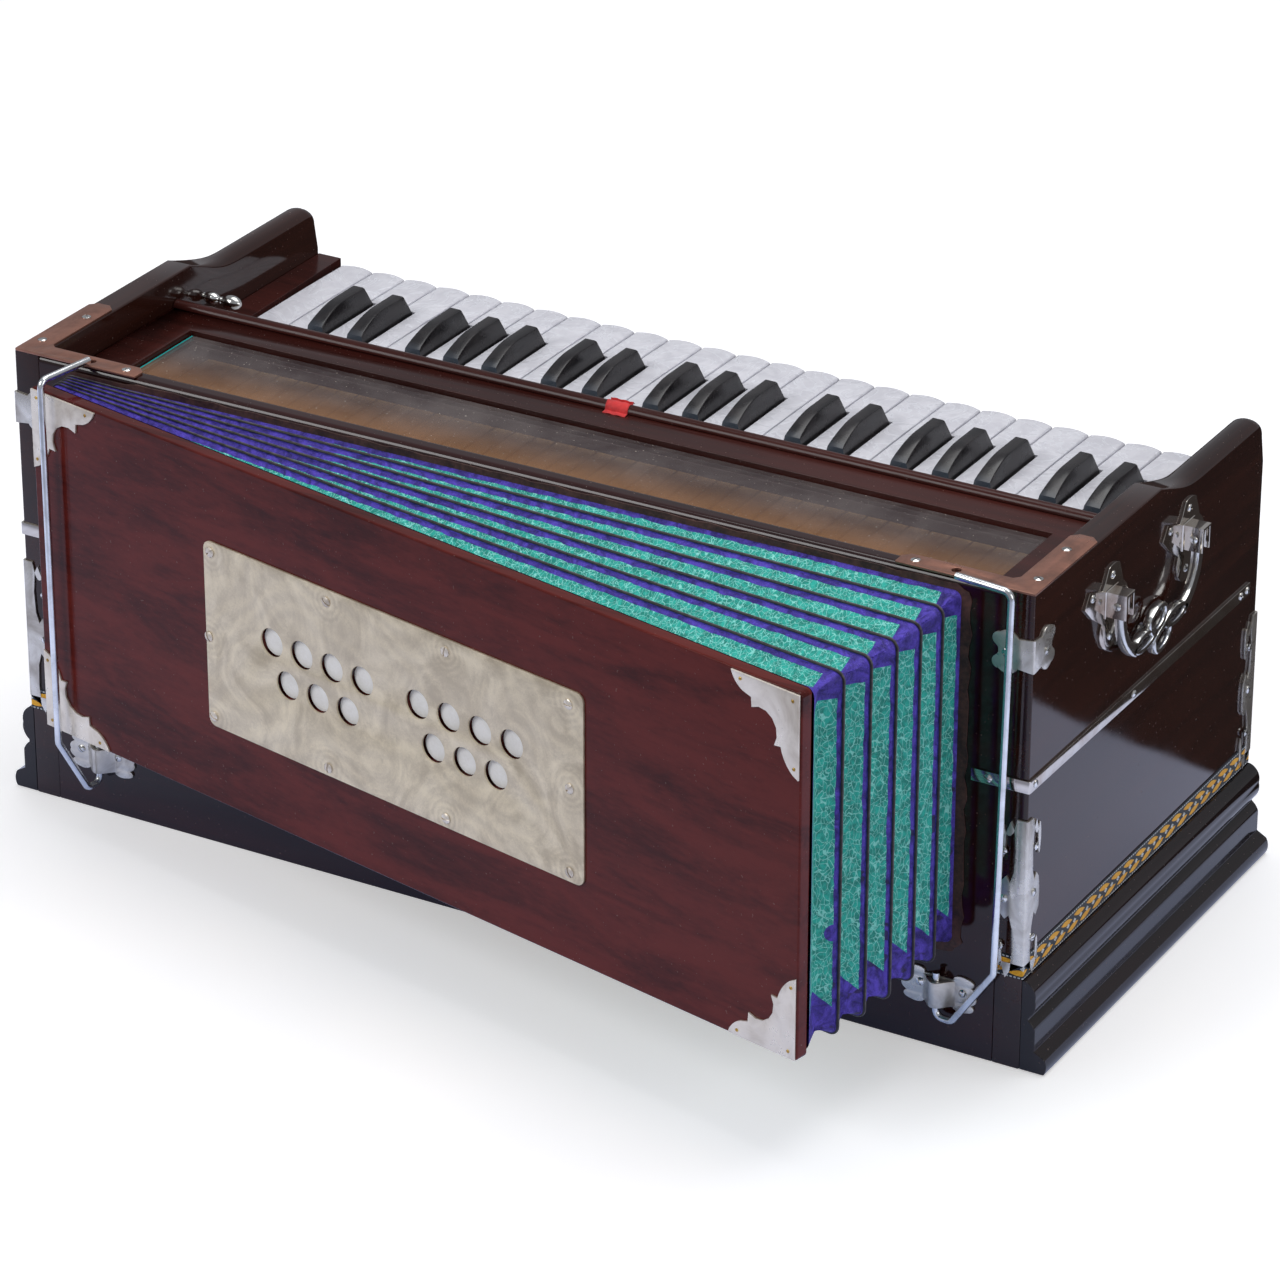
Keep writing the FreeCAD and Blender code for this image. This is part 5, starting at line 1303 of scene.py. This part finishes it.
def handleBracket(middle):
    # a cut back plate with a folded clevis standing out of it
    b, x, z = bracket, case["halfLength"], handle["pivotZ"]
    plate = steelSheet(drawn(b["shares"], 6)[:-1] * b["size"] + (middle, b["z"]))
    plate = laid(plate, (x + case["steel"] / 2, 0, 0), farWay, upWay)
    wide, high, wall, lip = b["halfWidth"], b["halfHeight"], b["wall"], b["lip"]
    plan = [(-wide, -high), (wall - wide, -high), (wall - wide, high - wall), (wide - wall, high - wall)]
    plan += [(wide - wall, -high), (wide, -high), (wide, high), (-wide, high)]
    clevis = block(np.array(plan) + (middle, z), x + 1.0, x + b["out"], 0.3, steps=2)
    step = box((x + 0.9, middle - lip, z - lip), (x + 1.8, middle + lip, z + lip + 0.7), 0.4, 1)
    return joined(plate, laid(clevis, (0, 0, 0), farWay, upWay), step)


rightSteel = joined(
    painted(topPlate(), 1),
    painted(sideStrap(), 2),
    bentPlate(smallAngle),
    bentPlate(longAngle),
    bentPlate(longAngle, True),
    clipBracket(),
    *(painted(handleBracket(pivot), 2) for pivot in pivots),
)
fittingLook = ([nickel, tarnished, strapSteel], "case", "fitting_steel", ("steel_fittings",), 30)
addPiece("case_fittings", joined(rightSteel, mirrored(rightSteel)), *fittingLook)

# Screw places on each face of the right end; the left end mirrors them
frontFace, sideFace, topFace = steelFront - skin, steelSide + skin, case["top"] + case["steel"] + skin
frontSpots = [(295.7, frontFace - 0.5, 238.4)]  # this one sits on the small angle's raised leg
frontPlaces = [(297.6, 126.3), (298.5, 98.6), (296.8, 70.9), (252.1, 36.6), (277.0, 36.2), (287.6, 165.0)]
frontSpots += [(x, frontFace, z) for x, z in frontPlaces]
sidePlaces = [(-127.2, 236.8), (-131.4, 127.7), (-132.4, 101.4), (-132.0, 75.0)]
sidePlaces += [(y, 165.0) for y in (-134.5, -18.6, 116.2, 124.5)] + [(131.4, 127.7), (132.4, 101.4), (132.0, 75.0)]
for pivot in pivots:
    sidePlaces += [(pivot + 1.0, 247.6), (pivot - 0.4, 213.4), (pivot - 22.5, 243.6)]
sideSpots = [(sideFace, y, z) for y, z in sidePlaces]
rearSpots = [(x, case["rear"] + case["steel"] + skin, z) for x, z in frontPlaces[:3]]
topSpots = [(x, y, topFace) for x, y in ((300.5, -85.0), (303.4, -123.0), (240.0, -134.2))]
heads = joined(
    screws(frontSpots, -farWay, upWay, 2.3, 1.2),
    screws(sideSpots, rightWay, upWay, 2.2, 1.2),
    screws(rearSpots, farWay, upWay, 2.2, 1.2),
    screws(topSpots, upWay, farWay, 2.6, 1.0),
)
addPiece("fitting_screws", joined(heads, mirrored(heads)), [chrome], "case", "fitting_steel", closed=False)

# Wire clips



def wireClip(name, side, angle, throw, lean, hook):
    # a round wire carried along the clip's flat path, which then turns about the knuckle
    c = clip
    corners = [(0, c["foot"]), (0, c["low"]), (10, c["low"]), (throw, c["knee"])]
    corners += [(throw + lean, c["hookZ"]), (throw + lean - hook, c["hookZ"])]
    path = bentPath(np.array(corners) * (side, 1), c["bend"], 8)
    way = np.array([math.cos(angle), math.sin(angle), 0.0])
    path = path[:, :1] * way + path[:, 1:] * upWay + (side * c["axisX"], c["axisY"], 0)
    shape = swept(path, ring(c["wire"], 14), np.cross(way, upWay))
    addPiece(name + "_wire", shape, [wireChrome], name, "clip_chrome", (name,), 40)


wireClip("right_clip", 1, math.radians(-7), 35, 3.5, 33)
wireClip("left_clip", -1, math.radians(80.7), 31, 0, 37)

# Carrying handles


def oval(length, height, tilt, centre, pointed, steps=28):
    # a closed loop: |v| = h sin^p(t) against u = -a cos(t); pointed ends where the power is above one
    angle = np.arange(steps) * 2 * math.pi / steps
    u = length * np.cos(angle)
    power = 1.35 if pointed else 0.75
    v = height * np.sign(np.sin(angle)) * np.abs(np.sin(angle)) ** power
    return np.c_[u * math.cos(tilt) - v * math.sin(tilt), u * math.sin(tilt) + v * math.cos(tilt)] + centre


handlePin = [(5.05, 1.5), (5.05, 2.2), (5.4, 2.1), (5.9, 1.2), (6.0, 0)]


def handleCasting(name, side):
    # curved arms and a scroll of open links, cut as soft-edged plates of the casting's thickness
    h, shapes = handle, []
    halfSpan, drop, z = h["span"] / 2, h["drop"], h["pivotZ"]
    eye, thick, tilt = h["eye"], h["thickness"], math.radians(15)
    arm = [(halfSpan + eye, 0.0), ((halfSpan, eye), (halfSpan - eye, 0.0)), (halfSpan - eye, -0.25 * drop)]
    arm += [((0.86 * halfSpan, -0.56 * drop), (0.6 * halfSpan, -0.8 * drop)), (0.64 * halfSpan, -1.02 * drop)]
    arm += [((0.98 * halfSpan, -0.64 * drop), (halfSpan + eye, -0.02 * drop))]
    arm = drawn(arm, 8)
    for way in (1, -1):
        outline = arm * (way, 1) + (h["middle"], z)
        shapes.append(sheet([outline if way > 0 else outline[::-1]], thick, 1.3))
        centre = np.array((h["middle"] + way * halfSpan * 0.4, z - drop * 0.9))
        longLink = [oval(a, b, 0, centre, True) for a, b in ((15.5, 5.6), (10.2, 2.6))]
        centre = np.array((h["middle"] + way * drop * 0.09, z - drop * (0.9 + way * 0.18)))
        roundLink = [oval(a, b, tilt, centre, False) for a, b in ((11.1, 7.4), (8.1, 4.4))]
        shapes += [sheet(link, thick, 1.1) for link in (longLink, roundLink)]
    # plates lie in (y, z) and stand out along x
    body = laid(joined(*shapes), (h["x"], 0, 0), farWay, upWay)
    profile = [(-along, radius) for along, radius in handlePin[::-1]] + handlePin
    pins = [laid(turned(profile, 18), (h["x"], pivot, z), farWay, upWay) for pivot in pivots]
    whole = joined(body, *pins)
    addPiece(name + "_casting", whole if side > 0 else mirrored(whole), [chrome], name, "handle_chrome", (name,), 34)


handleCasting("right_handle", 1)
handleCasting("left_handle", -1)

# Knobs


def ballProfile(start, length, radius, neck=0.35):
    # half a rounded ball from start to start + length: (middle - l cos(t) / 2, r sin(t)), cut off at the neck's angle
    turn = np.linspace(neck, math.pi - neck, 9)
    along = start + length / 2 * (1 - np.cos(turn) / math.cos(neck))
    return np.c_[along, radius * np.sin(turn)]


knobs = {
    "couplerPlace": (-294.0, 19.7, 249.0),
    "couplerStem": [(-9, 0), (-9, 2.2), (0.35, 2.2)],
    "couplerNeck": [(11.2, 2.0), (12.4, 2.0)],
    "stopX": 190.0,
    "stopZ": 150.0,
    "stop": [
        *((-28, 0), (-28, 2.9), (0.3, 2.9), (0.35, 4.4), (1.2, 4.6), (2.4, 4.2), (7.6, 3.9), (8.8, 4.6), (9.4, 6.4)),
        *((10.2, 8.0), (11.4, 8.8), (13.0, 9.0), (15.0, 8.8), (16.8, 7.6), (17.8, 5.2), (18.2, 2.4), (18.25, 0)),
    ],
}
balls = ballProfile(0.5, 10.3, 3.7), knobs["couplerNeck"], ballProfile(12.8, 12.4, 4.3)
couplerProfile = np.concatenate([knobs["couplerStem"], *balls, [(25.2, 0)]])
coupler = laid(turned(couplerProfile, 36), knobs["couplerPlace"], rightWay, farWay)
addPiece("coupler_balls", coupler, [chrome], "coupler_knob", "knob_chrome", ("coupler_knob",), 40)
for name, side in (("main_stop_knob", -1), ("drone_stop_knob", 1)):
    knob = laid(turned(knobs["stop"], 36), (side * knobs["stopX"], case["rear"], knobs["stopZ"]), farWay, upWay)
    addPiece(name + "_turning", knob, [chrome], name, "knob_chrome", (name,), 40)

# Floor, light and camera

print("studio")
floorHalf, floorDrop = 3.4, 0.0004  # metres
floorMesh = bpy.data.meshes.new("floor")
floorCorners = [(x * floorHalf, y * floorHalf, 0) for x, y in ((-1, -1), (1, -1), (1, 1), (-1, 1))]
floorMesh.from_pydata(floorCorners, [], [(0, 1, 2, 3)])
floor = bpy.data.objects.new("floor", floorMesh)
floor.location.z = -floorDrop
bpy.context.scene.collection.objects.link(floor)
paper = Finish("paper", rough=0.9, shine=0.2)
# a pale sheet lies about the object and a dim floor beyond its edge; the camera sees white paper throughout
wave = paper.noise(5.0, 2.0, 0.5) * 0.04
beyond = paper.spread(paper.part(1) - paper.part(0) * 0.16 + wave, 0.171, 0.181)
before = 1 - paper.spread(paper.part(1), -0.8, -0.35)
seen = paper.add("ShaderNodeLightPath", {}, {}, "Is Camera Ray")
dim = paper.math("MAXIMUM", beyond, before * 0.65) * (1 - seen)
paperTone = paper.shades(paper.noise(3.0), 0.3, 0.7, (0.76, 0.78, 0.82, 1), (0.82, 0.82, 0.83, 1))
paperTone = paper.mix(seen, (0.69, 0.7, 0.79, 1), paperTone)
paperTone = paper.mix(dim, paperTone, (0.035, 0.028, 0.026, 1))
# polished surfaces see the pale sheet brighter and bluer
polished = paper.add("ShaderNodeLightPath", {}, {}, "Is Glossy Ray") * (1 - dim)
glow = paper.mix(polished, (0, 0, 0, 1), (0.12, 0.17, 0.32, 1))
glow = paper.mix(seen, glow, (0.42, 0.41, 0.4, 1))
paper.surface.inputs["Emission Strength"].default_value = 1.0
paper.feed({"Base Color": paperTone, "Emission Color": glow})
floorMesh.materials.append(paper.material)

world = bpy.data.worlds.new("studio")
bpy.context.scene.world = world
world.use_nodes = True
tree = world.node_tree
tree.nodes.clear()
kinds = ("LightPath", "Math", "Math", "Background", "Background", "MixShader", "OutputWorld")
path, shown, part, plain, white, choice, out = (tree.nodes.new("ShaderNode" + kind) for kind in kinds)
shown.operation, part.operation = "MAXIMUM", "MULTIPLY_ADD"
part.inputs[1].default_value = 0.12  # polished surfaces see a part of the white, so that lacquer keeps its colour
plain.inputs["Color"].default_value, plain.inputs["Strength"].default_value = (0.86, 0.9, 1.0, 1), 0.28
white.inputs["Color"].default_value, white.inputs["Strength"].default_value = (1, 1, 1, 1), 1.0
for source, target in (
    (path.outputs["Is Camera Ray"], shown.inputs[0]),
    (path.outputs["Is Transmission Ray"], shown.inputs[1]),
    (path.outputs["Is Glossy Ray"], part.inputs[0]),
    (shown.outputs[0], part.inputs[2]),
    (part.outputs[0], choice.inputs[0]),
    (plain.outputs[0], choice.inputs[1]),
    (white.outputs[0], choice.inputs[2]),
    (choice.outputs[0], out.inputs[0]),
):
    tree.links.new(source, target)

studio = {
    # place, target, width, height, watts
    "window": ((-1.6, -2.4, 2.2), (0, -0.1, 0.15), 1.6, 1.6, 42.0),
    "ceiling": ((0.2, 0.5, 2.8), (0, 0, 0.1), 2.4, 2.0, 46.0),
    "filler": ((2.6, -0.6, 1.3), (0.1, 0, 0.15), 1.2, 1.4, 16.0),
}
for name, (spot, target, width, height, watts) in studio.items():
    data = bpy.data.lights.new(name, "AREA")
    data.shape, data.size, data.size_y, data.energy = "RECTANGLE", width, height, watts
    lamp = bpy.data.objects.new(name, data)
    lamp.location = spot
    lamp.rotation_euler = (Vector(target) - Vector(spot)).to_track_quat("-Z", "Y").to_euler()
    bpy.context.scene.collection.objects.link(lamp)

view = {
    "place": (1.39833, -2.43598, 1.49993),
    "yaw": 29.797413,
    "pitch": 26.298841,
    "roll": 0.0406899,
    "focal": 5663.6256,  # in pixels of the picture
    "pixels": 1280,
}
yaw, pitch, roll = (math.radians(view[word]) for word in ("yaw", "pitch", "roll"))
look = Vector((-math.sin(yaw) * math.cos(pitch), math.cos(yaw) * math.cos(pitch), -math.sin(pitch)))
side = Vector((math.cos(yaw), math.sin(yaw), 0))
above = side.cross(look)
sideRolled = side * math.cos(roll) + above * math.sin(roll)
aboveRolled = above * math.cos(roll) - side * math.sin(roll)
turn = Matrix((sideRolled, aboveRolled, -look)).transposed()
lens = bpy.data.cameras.new("camera")
lens.sensor_width = 36.0
lens.lens = view["focal"] / view["pixels"] * lens.sensor_width
camera = bpy.data.objects.new("camera", lens)
camera.matrix_world = Matrix.Translation(view["place"]) @ turn.to_4x4()
bpy.context.scene.collection.objects.link(camera)
bpy.context.scene.camera = camera
bpy.context.scene.view_settings.view_transform = "Standard"
